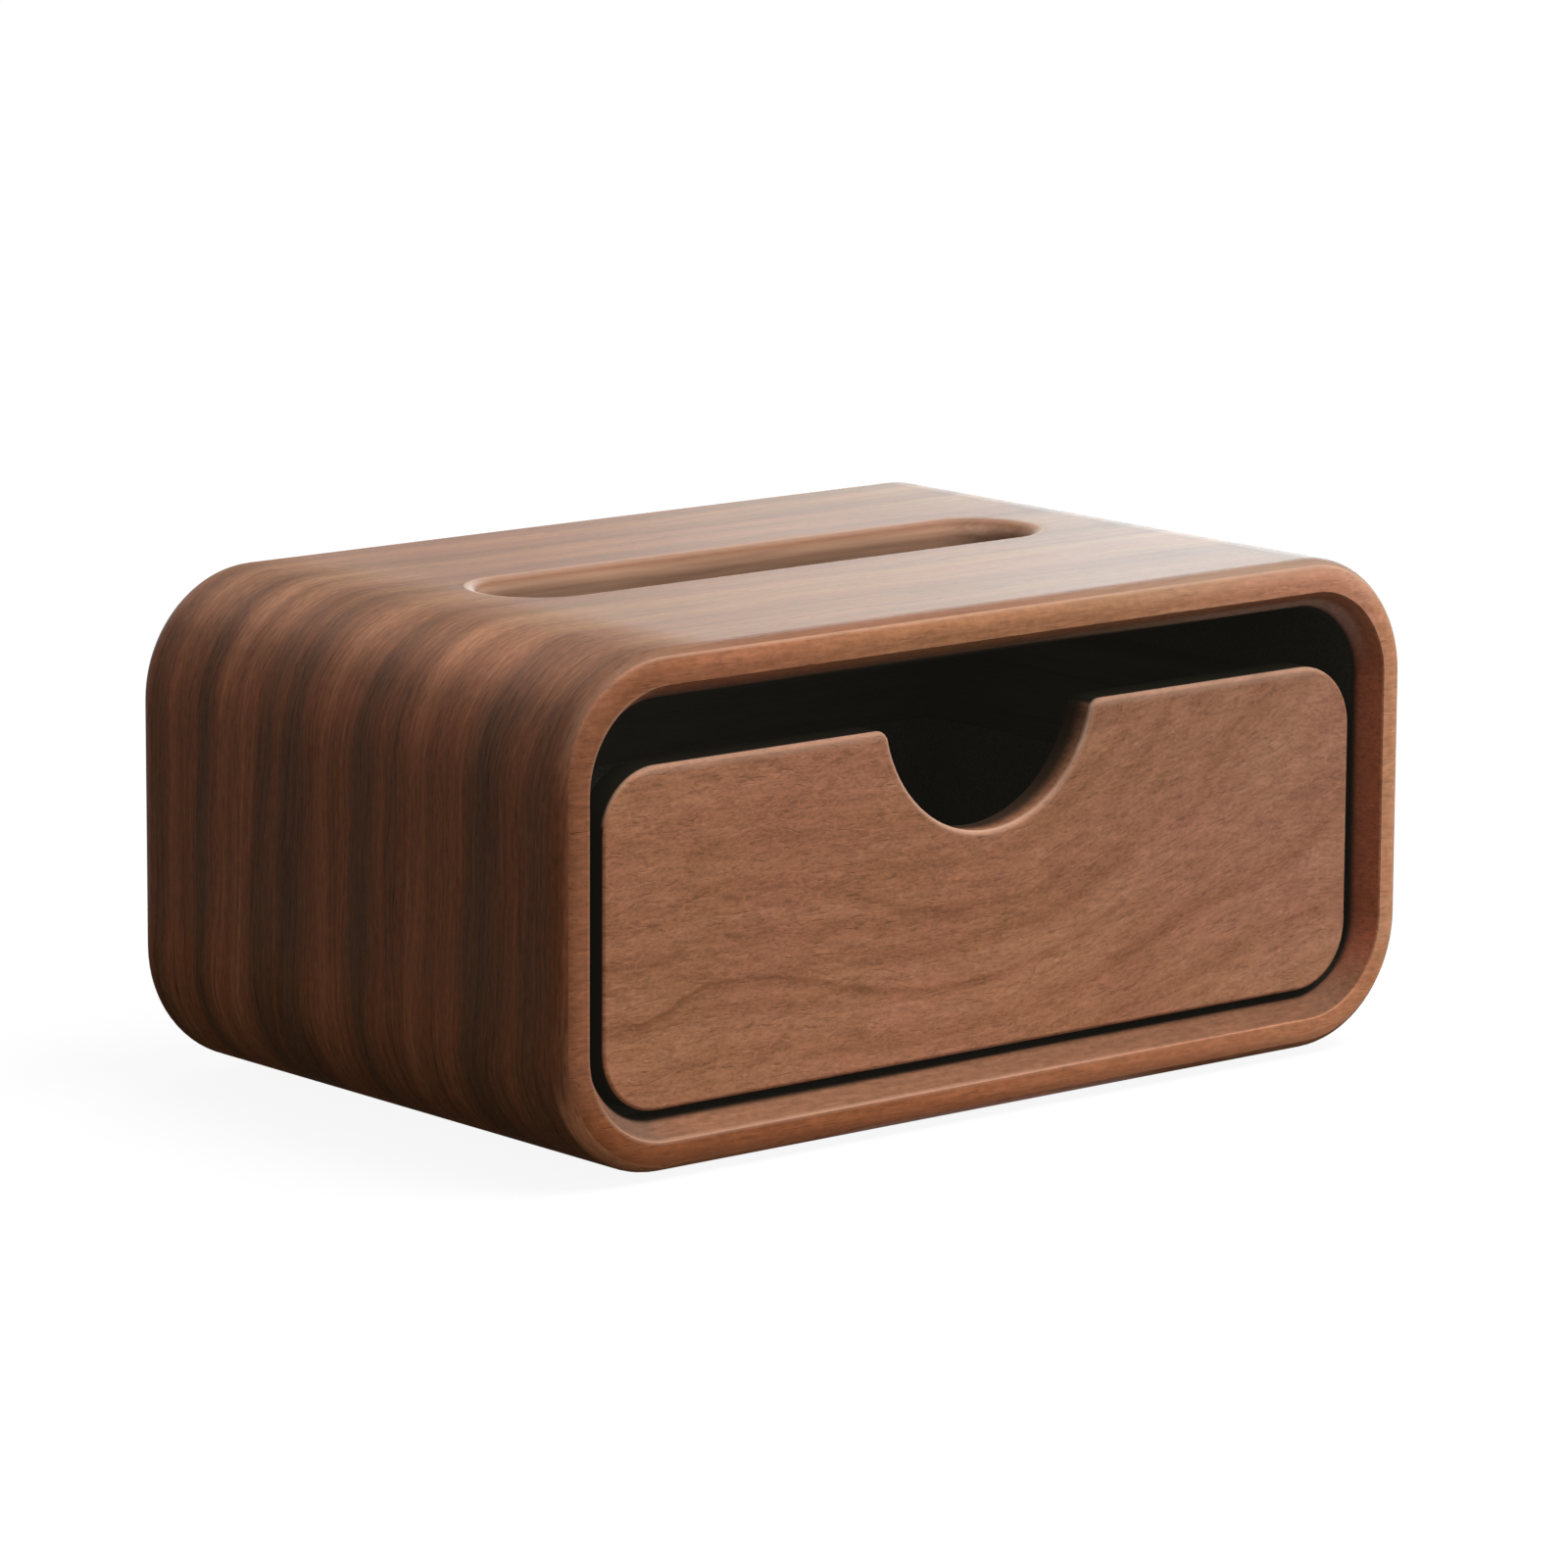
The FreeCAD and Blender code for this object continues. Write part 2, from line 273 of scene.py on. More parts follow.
# %% [markdown]
# The veneer is straight-cut walnut. Dark and red-brown bands lie side by side
# across the leaf, each a few years of growth. Noise could draw them, but
# evenly random stripes look printed, so they are a ramp over the depth of the
# case with its stops listed. They lean back a little on their way down.

# %% Bands of the veneer
GROWTH_BANDS = [
    # millimetres behind the middle of the case, and how light the wood is there
    (-74, 0.45), (-66, 0.34), (-60, 0.5), (-54, 0.28), (-47, 0.16), (-39, 0.66), (-33, 0.5),
    (-25, 0.8), (-20, 0.34), (-15, 0.46), (-8, 0.14), (-2, 0.58), (6, 0.7), (12, 0.5),
    (18, 0.12), (22, 0.4), (26, 0.22), (34, 0.76), (38, 0.56), (42, 0.82), (48, 0.18),
    (54, 0.54), (60, 0.78), (64, 0.3), (74, 0.56),
]
LEAN_START = 0.12
LEAN = 0.05
VENEER_WOOD = [
    (0.0, (0.078, 0.04, 0.023)), (0.28, (0.112, 0.049, 0.027)), (0.55, (0.168, 0.062, 0.0325)),
    (0.8, (0.224, 0.086, 0.044)), (1.0, (0.3, 0.132, 0.07)),
]
CALM_WOOD = [(0.2, (0.142, 0.055, 0.027)), (0.8, (0.218, 0.1, 0.053))]
CALM_HUES = [(1.01, 0.96, 1.04, 1.0), (0.99, 1.04, 0.95, 1.0)]
CALM_SHARE = 0.9
SMOKE_TINT = (1.08, 0.93, 0.93, 1.0)
print("veneer bands:", len(GROWTH_BANDS))

# %% [markdown]
# The wood gets a tint by its distance along the leaf, and on the top and the
# corner a second one from front to back. The tints are partly the wood's own
# colour and partly painted light and shade. The leaf is paler where the top
# turns into the corner, as painted sheen, and darker down the side, as painted
# shade. It is lighter where it turns underneath, as painted bounce light. On
# the top it is lighter at the front and darker at the back, as painted light.
# On the right the first tint is weaker. A ramp can't hold values above 1, so
# the tints are divided by their range here and multiplied back at the end.

# %% Tints of the veneer
LEAF_TINTS = [
    # millimetres along the leaf from the middle of the top, and the tint painted there
    (30, (1.0, 1.0, 1.0)), (52, (0.97, 0.97, 0.96)), (66, (0.94, 0.94, 0.92)),
    (76, (0.96, 0.97, 0.97)), (83, (1.07, 1.26, 1.32)), (90, (1.07, 1.29, 1.4)),
    (97, (1.1, 1.36, 1.5)), (102.4, (1.23, 1.49, 1.6)), (107, (1.27, 1.48, 1.56)),
    (112, (1.21, 1.37, 1.46)), (117, (0.99, 1.09, 1.15)), (120, (0.9, 0.98, 1.02)),
    (124, (1.0, 1.01, 1.01)), (129, (1.12, 1.09, 1.09)), (134, (1.08, 1.05, 1.02)),
    (140, (0.97, 0.94, 0.86)), (150, (0.93, 0.88, 0.79)), (180, (0.89, 0.84, 0.73)),
    (195, (1.04, 1.03, 0.93)), (206, (1.15, 1.18, 1.0)),
]
TINT_RANGE = 1.7
NO_TINT = (1.0 / TINT_RANGE, 1.0 / TINT_RANGE, 1.0 / TINT_RANGE, 1.0)
RIGHT_CALM = 0.55
FRONT_TOP, FRONT_CORNER, FRONT_EDGE = (
    (1.06, 1.03, 0.93, 1.0), (1.13, 1.17, 1.21, 1.0), (0.9, 0.96, 0.98, 1.0))
REAR_TOP, REAR_CORNER = (0.94, 0.87, 0.81, 1.0), (0.9, 0.96, 0.99, 1.0)
print("tints along the leaf:", len(LEAF_TINTS))


def with_painted_light(finish, colour, x, y, distance, lively, side):
    """The wood with its tints of colour and painted light, all divided by TINT_RANGE."""
    stops = [(mm, tuple(part / TINT_RANGE for part in tint)) for mm, tint in LEAF_TINTS]
    along = finish.colours(distance / MM, stops)
    on_right = x.rising(-0.03, 0.03) * RIGHT_CALM
    colour = finish.tinted(colour, finish.blend(on_right, along, NO_TINT))
    near_rim = y.falling(-0.064, -0.052)
    corner = finish.blend(near_rim, FRONT_CORNER, FRONT_EDGE)
    at_front = finish.blend(lively, FRONT_TOP, corner)
    at_rear = finish.blend(lively, REAR_TOP, REAR_CORNER)
    front_part = y.falling(-0.05, 0.03)
    across = finish.blend(front_part, at_rear, at_front)
    return finish.tinted(colour, across, 1 - side)


# %% [markdown]
# Now the leaf comes together. The bands set the tone and broad noise breaks
# them up. Noise that is drawn out along the grain makes the lines, the fibres
# and the short pores over them. The top is calm, the corner lively, and the
# side plain.

# %% Look of the veneer
CORNER_ZONE = (0.078, 0.106)
SIDE_ZONE = (0.106, 0.134)


def veneer_look(finish, x, y, z):
    """The colour and the relief of the veneer at a point."""
    s = along_the_wrap(x, z)
    distance = abs(s)
    lively = distance.rising(*CORNER_ZONE)
    side = distance.rising(*SIDE_ZONE)
    corner = lively - side
    lean = (distance - LEAN_START).at_least(0) * LEAN
    sway = finish.noise(s * 12, y * 26, 0, roughness=0.6) - 0.5
    shiver = finish.noise(s * 55, y * 90, 5, detail=1) - 0.5
    across = y - lean + sway * 0.01 + shiver * 0.001
    patches = finish.noise(s * 7, across * 110, 7, roughness=0.6) - 0.5
    streaks = finish.noise(s * 12, across * 420, 2, roughness=0.6) - 0.5
    uneven = (patches + streaks) * (0.55 - corner * 0.2)
    contrast = lively * 0.24 + side * 0.06 + 0.64
    bands = finish.levels(across / MM, GROWTH_BANDS)
    tone = ((bands - 0.5) * 0.95 + uneven) * contrast
    figured = finish.colours(tone + 0.5, VENEER_WOOD)
    hue = finish.noise(s * 9, across * 130, 12, detail=1).rising(0.35, 0.65)
    calm = finish.colours(tone + 0.5, CALM_WOOD)
    calm = finish.tinted(calm, finish.blend(hue, *CALM_HUES))
    colour = finish.blend(lively, finish.blend(CALM_SHARE, figured, calm), figured)
    colour = finish.tinted(colour, SMOKE_TINT, corner * tone.falling(-0.3, 0.05))
    # the tints carry painted light and shade as well as the wood's own colour
    colour = with_painted_light(finish, colour, x, y, distance, lively, side)
    lines = finish.noise(s * 22, across * 950, 4, roughness=0.65)
    seams = finish.noise(s * 9, across * 150, 6, roughness=0.55) - 0.5
    seams = seams.line(1 / 28) * (0.2 - corner * 0.13)
    fibres = finish.noise(s * 300, across * 1500, 3, roughness=0.6)
    pores = finish.noise(s * 160, across * 2300, 9, detail=0).rising(0.66, 0.78)
    detail = (lines - 0.5) * (0.95 - corner * 0.38) + (fibres - 0.5) - pores * 0.22 - seams
    detail = detail * (lively * 0.25 + 0.75)
    relief = lines * 0.5 + fibres * 0.4 - pores * 0.8
    return finish.shaded(colour, (1 + detail) * TINT_RANGE), relief


def veneer_roughness(x, z, relief):
    """Where hands hold the box, and underneath, the lacquer is duller."""
    distance = abs(along_the_wrap(x, z))
    wear_and_sheen = distance.rising(0.074, 0.092) * distance.falling(0.098, 0.112)
    wear_and_sheen = wear_and_sheen * x.falling(-0.04, 0)
    underneath = distance.rising(0.176, 0.204)
    return 0.38 + relief * 0.08 + wear_and_sheen * 0.28 + underneath * 0.55


print("lively grain from, mm:", round(CORNER_ZONE[0] / MM))

# %% [markdown]
# The lacquer is a thin matt film, so its index is low and the wood keeps its
# colour under white light. The deepest blacks of the box get a painted glow: a
# trace of warm light of their own, so that they never render as pure black.

# %% Veneer of the case
LACQUER = {"IOR": 1.09}
INNER_BLACK = (0.0095, 0.008, 0.0055, 1.0)
PAINTED_GLOW = (1.0, 0.88, 0.66, 1.0)
PAINTED_GLOW_STRENGTH = 0.0054
PAINTED_GLOW_INPUTS = {"Emission Color": PAINTED_GLOW, "Emission Strength": PAINTED_GLOW_STRENGTH}
FINE_RELIEF = 0.05 * MM


def veneer_finish():
    finish = Finish("walnut_veneer")
    x, y, z = finish.place()
    colour, relief = veneer_look(finish, x, y, z)
    roughness = veneer_roughness(x, z, relief)
    return finish.surface(colour, roughness, relief, FINE_RELIEF, **LACQUER)


outer_veneer = veneer_finish()
finish_node("outer_veneer", outer_veneer)
print("veneer nodes:", len(outer_veneer.node_tree.nodes))

# %% [markdown]
# The two rims are frames cut from solid walnut. The veneer laps over the outer
# part of their rounding, and its edge is the crisp line around the front. It
# could be modelled as a step, but sanding leaves hardly any, so it is drawn.
# How far a point lies inside the outline of the case is worked out as for any
# rounded rectangle, and compared with its depth.

# %% Where the veneer ends on a rim
MOUTH_INSET = 7 * MM
THROAT_INSET = 11 * MM


def inside_outline(x, z):
    """Metres from the outline of the case inwards to a point."""
    out_x = abs(x) - (CASE_HALF.x - CORNER_RADIUS)
    out_z = abs(z - CASE_MIDDLE.z) - (CASE_HALF.z - CORNER_RADIUS)
    corner = (out_x.at_least(0) ** 2 + out_z.at_least(0) ** 2).root()
    flat = out_x.at_least(out_z).at_most(0)
    return CORNER_RADIUS - corner - flat


def past_the_lap(depth, inset, slope):
    """How far a point of the rounding lies on the veneer's side of its edge."""
    return (RIM_ROUND - inset) - (RIM_ROUND - depth).at_least(0) * slope


print("rim around the mouth, mm:", round(MOUTH_INSET / MM, 1))

# %% [markdown]
# Inside the mouth of a rim, a bevel slopes back to the throat. Its wood is
# painted darker inwards towards the throat, as painted shade. Its upper part is
# darker still and greyish, as painted shade, and its grey is painted lighter to
# the right. Its right part is dark and red, and its lower part a sill that
# catches the light.

# %% Bevel of the mouth
RIM_WOOD = [
    (0.0, (0.14, 0.05, 0.024)), (0.25, (0.24, 0.094, 0.046)), (0.5, (0.34, 0.138, 0.076)),
    (0.75, (0.44, 0.203, 0.124)), (1.0, (0.54, 0.3, 0.2)),
]
GREY_BEVEL = (0.2, 0.112, 0.082, 1.0)
RED_TINT = (0.96, 0.76, 0.82, 1.0)
SILL_WOOD = (0.172, 0.078, 0.043, 1.0)
SILL_END_WOOD = (0.14, 0.076, 0.05, 1.0)
print("mouth bevel, mm:", round((THROAT_INSET - MOUTH_INSET) / MM, 1))


def bevel_wood(finish, x, inset, upper, lower, streaks):
    """The colour of the bevel, where upper and lower say which part it is."""
    inwards = ((inset - MOUTH_INSET) / (THROAT_INSET - MOUTH_INSET)).at_least(0)
    wood = finish.colours(0.36 + upper * 0.08 + (streaks - 0.5) * 0.2, RIM_WOOD)
    # painted shade: darker inwards, and much darker on the upper part
    dim = 1.08 - inwards ** 2 * 0.3 + upper * (0.25 - inwards * 0.75)
    wood = finish.shaded(wood, dim.at_least(0.05))
    # the grey is painted lighter to the right, as painted light
    grey = finish.shaded(GREY_BEVEL, 1 + x.rising(0, 0.08) * 1.3)
    to_grey = upper * inwards.rising(0.35, 0.65) * (x.rising(-0.04, 0.06) * 0.5 + 0.5)
    wood = finish.blend(to_grey, wood, grey)
    wood = finish.tinted(wood, RED_TINT, x.rising(0.08, 0.104) * (1 - upper))
    sill = finish.shaded(SILL_WOOD, 1.02 - x * 1.2 + (streaks - 0.5) * 0.4)
    sill = finish.blend(x.falling(-0.098, -0.086), sill, SILL_END_WOOD)
    return finish.blend(lower, wood, sill)


# %% [markdown]
# Two fine pale lines are painted highlights that make a rim read as joined and
# cut: one on the glue line where the veneer ends, and one along the sharp edge
# of the mouth.

# %% Painted highlight lines of a rim
PAINTED_HIGHLIGHT = (0.48, 0.31, 0.225, 1.0)
SEAM_WIDTH = 1.2 * MM
SEAM_BESIDE_LAP = 0.5 * MM
MOUTH_LINE_WIDTH = 0.7 * MM
print("glue line, mm:", round(SEAM_WIDTH / MM, 1))


def painted_highlight_lines(x, inset, past, upper, lower):
    """How strong the painted highlights on the glue line and the mouth's edge are at a point.
    """
    seam = (past + SEAM_BESIDE_LAP).line(SEAM_WIDTH) * upper
    seam = seam * (x.rising(-0.114, -0.088) * 0.3 + 0.12)
    mouth = (inset - MOUTH_INSET).line(MOUTH_LINE_WIDTH)
    along_left = x.falling(-0.108, -0.088) * (1 - lower) * (upper * 0.15 + 0.2)
    mouth = mouth * (lower * x.falling(-0.02, 0.12) * 0.42 + along_left)
    return seam.at_least(mouth)


# %% [markdown]
# The grain of a rim is level all the way, so the long rails show streaks and
# the short uprights show ticks: the noises are stretched along x. Tints follow
# the way the board's colour changes around the mouth. The tone is painted
# lighter to the right, as painted light from that side. The rounding gets a
# grey painted sheen at the upper right, the lap of the veneer a painted sheen
# above, and the underside of the rounding painted bounce light. The inner edge
# of the bevel takes a black stain.

# %% Solid walnut of the rims
PAINTED_SHEEN_GREY = (0.26, 0.178, 0.13, 1.0)
LOWER_TINT = (0.87, 0.74, 0.59, 1.0)
MIDDLE_TINT = (0.87, 0.95, 0.86, 1.0)
RIGHT_TINT = (0.95, 0.93, 0.76, 1.0)
PAINTED_SHEEN_LEFT = (0.24, 0.13, 0.085, 1.0)
PAINTED_SHEEN_RIGHT = (0.31, 0.215, 0.16, 1.0)


def bare_wood(finish, x, y, z, inset, past, upper, lower, wear_and_sheen, at_mouth):
    """The rim's own wood, and the fine ticks and pores in it."""
    drift = finish.noise(x * 14, y * 40, z * 40, detail=1)
    streaks = finish.noise(x * 45, y * 420, z * 560, detail=3, roughness=0.6)
    ticks = finish.noise(x * 200, y * 900, z * 1250, roughness=0.6, distortion=0.5)
    pores = finish.noise(x * 200, y * 1500, z * 1900, detail=0).rising(0.68, 0.78)
    mottle = finish.noise(x * 520, y * 700, z * 760, roughness=0.6)
    # the tone rises to the right and a little towards the bottom: painted light
    tone = 0.555 + x * 2.6 - z * 0.75 + (drift - 0.5) * 0.16 + (streaks - 0.5) * 0.32
    wood = finish.colours(tone, RIM_WOOD)
    bevel = (inset - MOUTH_INSET).rising(0, 0.0004)
    wood = finish.blend(bevel, wood, bevel_wood(finish, x, inset, upper, lower, streaks))
    wood = finish.tinted(wood, LOWER_TINT, lower * (1 - bevel))
    # the lower rounding is painted lighter, most near the mouth: painted bounce light from
    # below
    rounding = (1 - inset / RIM_ROUND).at_least(0)
    below = rounding * lower
    below = below + below ** 3 * at_mouth * 2
    wood = finish.shaded(wood, 1 + (ticks - 0.5) * 0.75 + (mottle - 0.5) * 0.55
                         - pores * 0.1 + below * 0.75)
    # a grey painted sheen on the upper rounding, growing to the right
    outer = rounding * wear_and_sheen * x.rising(-0.02, 0.06)
    wood = finish.blend(outer * 0.65, wood, PAINTED_SHEEN_GREY)
    middle = upper * x.rising(-0.08, -0.02) * x.falling(0.03, 0.1)
    wood = finish.tinted(wood, MIDDLE_TINT, middle)
    wood = finish.tinted(wood, RIGHT_TINT, x.rising(0.106, 0.114) * 0.8)
    wood = finish.blend(painted_highlight_lines(x, inset, past, upper, lower), wood, PAINTED_HIGHLIGHT)
    return wood, ticks * 0.6 - pores * 0.8


def rim_finish():
    finish = Finish("walnut_rim")
    x, y, z = finish.place()
    inset = inside_outline(x, z)
    depth = (y - CASE_FRONT).at_most(CASE_REAR - y)
    upper = (z - CASE_MIDDLE.z).rising(0.026, 0.046)
    lower = (CASE_MIDDLE.z - z).rising(0.03, 0.044)
    at_mouth = y.falling(-0.01, 0.01)
    # the upper part of the rim, where painted sheen is laid on the rounding
    wear_and_sheen = upper * (at_mouth * 0.75 + 0.25)
    past = past_the_lap(depth, inset, upper * 0.47 + 0.7)
    covered = past.rising(-0.00012, 0.00012)
    bare, relief = bare_wood(finish, x, y, z, inset, past, upper, lower, wear_and_sheen, at_mouth)
    veneer, veneer_relief = veneer_look(finish, x, y, z)
    turned = RIM_ROUND - depth
    to_right = x.rising(-0.04, 0.08)
    # the lap of the veneer is painted paler towards its edge: painted sheen
    painted_sheen = turned.rising(0, 0.0035) * wear_and_sheen * (to_right * 0.3 + 0.45)
    veneer = finish.blend(painted_sheen, veneer, finish.blend(to_right, PAINTED_SHEEN_LEFT, PAINTED_SHEEN_RIGHT))
    # the lap's underside is painted lighter near the mouth: painted bounce light
    below = lower * at_mouth * turned.rising(0, 0.0015)
    veneer = finish.shaded(veneer, below * 1.7 + 1)
    reach = lower * x.rising(-0.09, 0.03) * 0.0013
    early = upper * (0.0004 - x.rising(0, 0.07) * 0.0007)
    inner = (inset + early - THROAT_INSET).rising(-0.001, 0)
    inner = inner * (depth + early - reach).rising(0.004, 0.0047)
    colour = finish.blend(inner, finish.blend(covered, bare, veneer), INNER_BLACK)
    relief = relief + (veneer_relief - relief) * covered
    plain = 0.4 + relief * 0.08 + inner * 0.5
    roughness = plain + (veneer_roughness(x, z, relief) - plain) * covered
    # the black inside the throat emits a faint painted glow
    glow = finish.shaded(PAINTED_GLOW, inner)
    return finish.surface(colour, roughness, relief, FINE_RELIEF, Emission_Color=glow,
                          Emission_Strength=PAINTED_GLOW_STRENGTH, **LACQUER)


walnut_rim = rim_finish()
finish_node("front_rim", walnut_rim)
finish_node("rear_rim", walnut_rim)
print("rim nodes:", len(walnut_rim.node_tree.nodes))

# %% [markdown]
# The slot is lined with a solid ring of walnut, flush with the veneer and
# rounded where the tissue runs over it. Its top takes the pattern of the
# veneer around it, so the joint hardly shows, and its wall is plain walnut
# with the grain along the slot. The wall is painted lighter near the top and
# at the right end and darker at the left end, as painted light and shade, and
# a painted highlight runs along its rounded edge.

# %% Lipping of the slot
lipping_low, lipping_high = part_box("slot_lipping")
LIPPING_WIDTH = 4 * MM
SLOT_RADIUS = (lipping_high.y - lipping_low.y) / 2 - LIPPING_WIDTH
SLOT_STRAIGHT = lipping_high.x - LIPPING_WIDTH - SLOT_RADIUS
SLOT_MIDDLE = (lipping_high.y + lipping_low.y) / 2
LIP_ROUND = 3.5 * MM
LIPPING_WOOD = [
    (0.0, (0.194, 0.104, 0.065)), (0.5, (0.27, 0.153, 0.099)), (1.0, (0.355, 0.218, 0.148)),
]
print("clear slot, mm:", round(2 * (SLOT_STRAIGHT + SLOT_RADIUS) / MM), "x",
      round(2 * SLOT_RADIUS / MM))


def lipping_finish():
    finish = Finish("walnut_lipping")
    x, y, z = finish.place()
    from_top = case_high.z - z
    streaks = finish.noise(x * 16, y * 240, z * 300, detail=3, roughness=0.6)
    lines = finish.noise(x * 30, y * 900, z * 1100, roughness=0.6)
    wall = finish.colours(0.5 + (streaks - 0.5) * 1.2, LIPPING_WOOD)
    # painted light and shade: lighter near the top, lighter at the right end, darker at the
    # left
    lit = from_top.falling(0.0028, 0.0044) * 0.2
    dim_end = x.rising(0.04, 0.072) * 0.1 - x.falling(-0.07, -0.03) * 0.16
    wall = finish.shaded(wall, 0.9 + lit + (lines - 0.5) * 0.6 + dim_end)
    veneer, veneer_relief = veneer_look(finish, x, y, z)
    top = from_top.falling(0.0002, 0.0022)
    colour = finish.blend(top, wall, veneer)
    along = (abs(x) - SLOT_STRAIGHT).at_least(0)
    from_slot = (along ** 2 + (y - SLOT_MIDDLE) ** 2).root() - SLOT_RADIUS
    # a painted highlight along the rounded edge of the slot
    highlight_line = from_slot.falling(LIP_ROUND * 0.9, LIP_ROUND * 1.02)
    highlight_line = highlight_line * from_top.falling(0.0004, 0.0012)
    colour = finish.blend(highlight_line * 0.32, colour, PAINTED_HIGHLIGHT)
    relief = lines * 0.5 + (veneer_relief - lines * 0.5) * top
    return finish.surface(colour, 0.4 + relief * 0.08, relief, FINE_RELIEF, **LACQUER)


finish_node("slot_lipping", lipping_finish())

# %% [markdown]
# The drawer front is a flat-sawn board, where the saw meets the growth rings
# at a low angle and draws them as wide arcs. The arcs are circles pressed
# flat, around a point above the notch. Noise alone wouldn't join up into
# rings, so a few are drawn as soft dark lines, two more lines are listed, and
# noise does the rest.

# %% Grain of the drawer front
front_low, front_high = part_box("drawer_front")
FRONT_FACE = front_low.y
FRONT_TOP_EDGE = front_high.z
ARC_CENTRE = Vector((-10 * MM, 0.0, 91 * MM))
ARC_SPREAD = 85 * MM
GRAIN_ARCS = [
    # radius and width in millimetres, and how dark the line is on the left and the right
    (36.0, 2.5, 0.15, 0.1), (42.5, 2.4, 0.1, 0.6), (46.0, 3.0, 0.3, 0.3),
    (53.0, 2.6, 0.2, 0.3), (71.0, 3.2, 0.15, 0.28), (82.0, 4.5, 0.1, 0.25),
]
LOW_LINE = [
    # millimetres from the middle of the front, and how high the lowest line runs there
    (-106, 33.4), (-97, 33.0), (-90, 34.4), (-84, 37.4), (-78, 39.2), (-68, 38.8), (-60, 38.4),
    (-50, 36.4), (-40, 33.6), (-28, 31.0), (-15, 29.8), (2, 30.6), (20, 34.0), (40, 41.0),
    (106, 66.0),
]
HIGH_LINE = [
    (-106, 59.4), (-88, 60.6), (-70, 60.0), (-56, 58.4), (-44, 55.4), (-34, 51.4), (-22, 47.4),
    (-8, 45.6), (10, 46.2), (30, 54.0), (106, 80.0),
]
print("drawer front, mm:", [round(v / MM, 1) for v in front_high - front_low])


def drawn_lines(x, arc, height, low_line, high_line):
    """How dark the listed arcs and lines are at a point."""
    to_right = x.rising(-0.02, 0.03)
    dark = 0
    for radius, width, on_left, on_right in GRAIN_ARCS:
        line = (arc - radius).line(width)
        dark = line * (to_right * (on_right - on_left) + on_left) + dark
    faded = x.falling(0.01, 0.06)
    under = (low_line - height).at_least(0).line(2.6)
    over = (height - low_line).at_least(0).line(0.9)
    above = (high_line - height).line(2.2)
    return dark + over * under * faded * 0.66 + above * faded * 0.4


# %% [markdown]
# The face adds it all up: a tone from the rings and the lines, a drift of hue,
# and the texture of the short curly fibres.

# %% Face of the drawer front
FRONT_WOOD = [
    (0.0, (0.128, 0.05, 0.024)), (0.3, (0.215, 0.088, 0.044)), (0.55, (0.3, 0.13, 0.069)),
    (0.8, (0.366, 0.17, 0.095)), (1.0, (0.44, 0.222, 0.135)),
]
PINKISH = (0.965, 1.1, 1.38, 1.0)
FRONT_HUES = [(1.015, 0.985, 1.02, 1.0), (0.985, 1.01, 0.97, 1.0)]
print("arcs and lines on the front:", len(GRAIN_ARCS) + 2)


def front_face(finish, x, y, z):
    """The colour of the board's face at a point, and the relief of it."""
    beside = (x - ARC_CENTRE.x).at_least(0) / ARC_SPREAD
    right_of = (1 - (beside * -1).exponent()) * (ARC_SPREAD * 0.95)
    below = ARC_CENTRE.z - z
    wander = finish.noise(x * 30, 3, z * 45) - 0.5
    ripple = finish.noise(x * 120, 8, z * 190) - 0.5
    low_line = finish.levels(x / MM, LOW_LINE)
    high_line = finish.levels(x / MM, HIGH_LINE)
    reach = (right_of ** 2 + below ** 2).root()
    drop = (low_line - 30) * x.falling(-0.03, 0) * 0.35
    arc = reach / MM + drop + wander * 6 + ripple * 2.4
    rings = finish.noise(arc * 0.2, x * 8, z * 6, detail=3, roughness=0.65)
    mottle = finish.noise(x * 60, 5, z * 110, detail=3, roughness=0.6)
    height = z / MM + ripple * 1.2
    dark = drawn_lines(x, arc, height, low_line, high_line)
    patchy = finish.noise(x * 26, 11, z * 40, detail=1).rising(0.3, 0.62) * 0.5 + 0.5
    tone = 0.59 + (rings - 0.5) * 0.62 + (mottle - 0.5) * 0.32 - dark * patchy * 0.46
    face = finish.colours(tone, FRONT_WOOD)
    face = finish.tinted(face, PINKISH, (x * 0.8 + z).rising(0.02, 0.16) * 0.55)
    hue = finish.noise(x * 28, 14, z * 34).rising(0.35, 0.65)
    face = finish.tinted(face, finish.blend(hue, *FRONT_HUES))
    fall = z - x.rising(0, 0.1) * 0.015 + wander * 0.005
    strands = finish.noise(x * 120, 4, fall * 620, detail=3, roughness=0.6,
                           distortion=0.9)
    curls = finish.noise(x * 280, y * 300, fall * 850, roughness=0.65, distortion=1.5)
    dashes = finish.noise(x * 150, 7, fall * 760, detail=1).rising(0.58, 0.74)
    specks = finish.noise(x * 900, y * 900, z * 1400, detail=1, roughness=0.6)
    pores = finish.noise(x * 260, arc * 1.5, z * 200, detail=0).rising(0.66, 0.78)
    texture = (strands - 0.5) * 0.66 + (curls - 0.5) * 0.92 + (specks - 0.5) * 0.5
    # painted light: the face is darker to the left, lighter towards the upper right, and a
    # little lighter low down
    level = 1 - x.falling(-0.07, 0.02) * 0.055 + z.falling(0.02, 0.05) * 0.06
    level = level + (x * 0.8 + z).rising(0.105, 0.155) * 0.05
    face = finish.shaded(face, level + texture - pores * 0.08 - dashes * 0.1)
    return face, curls * 0.7 - pores * 0.6


# %% [markdown]
# The edges of the board behind the face are black. In the wall of the notch
# the black comes on gradually with depth, as painted shade in the recess. A
# painted highlight follows the notch and the upper edge as a pale line.

# %% Drawer front
NOTCH_HEIGHT = 91.7 * MM
NOTCH_RADIUS = 29.6 * MM


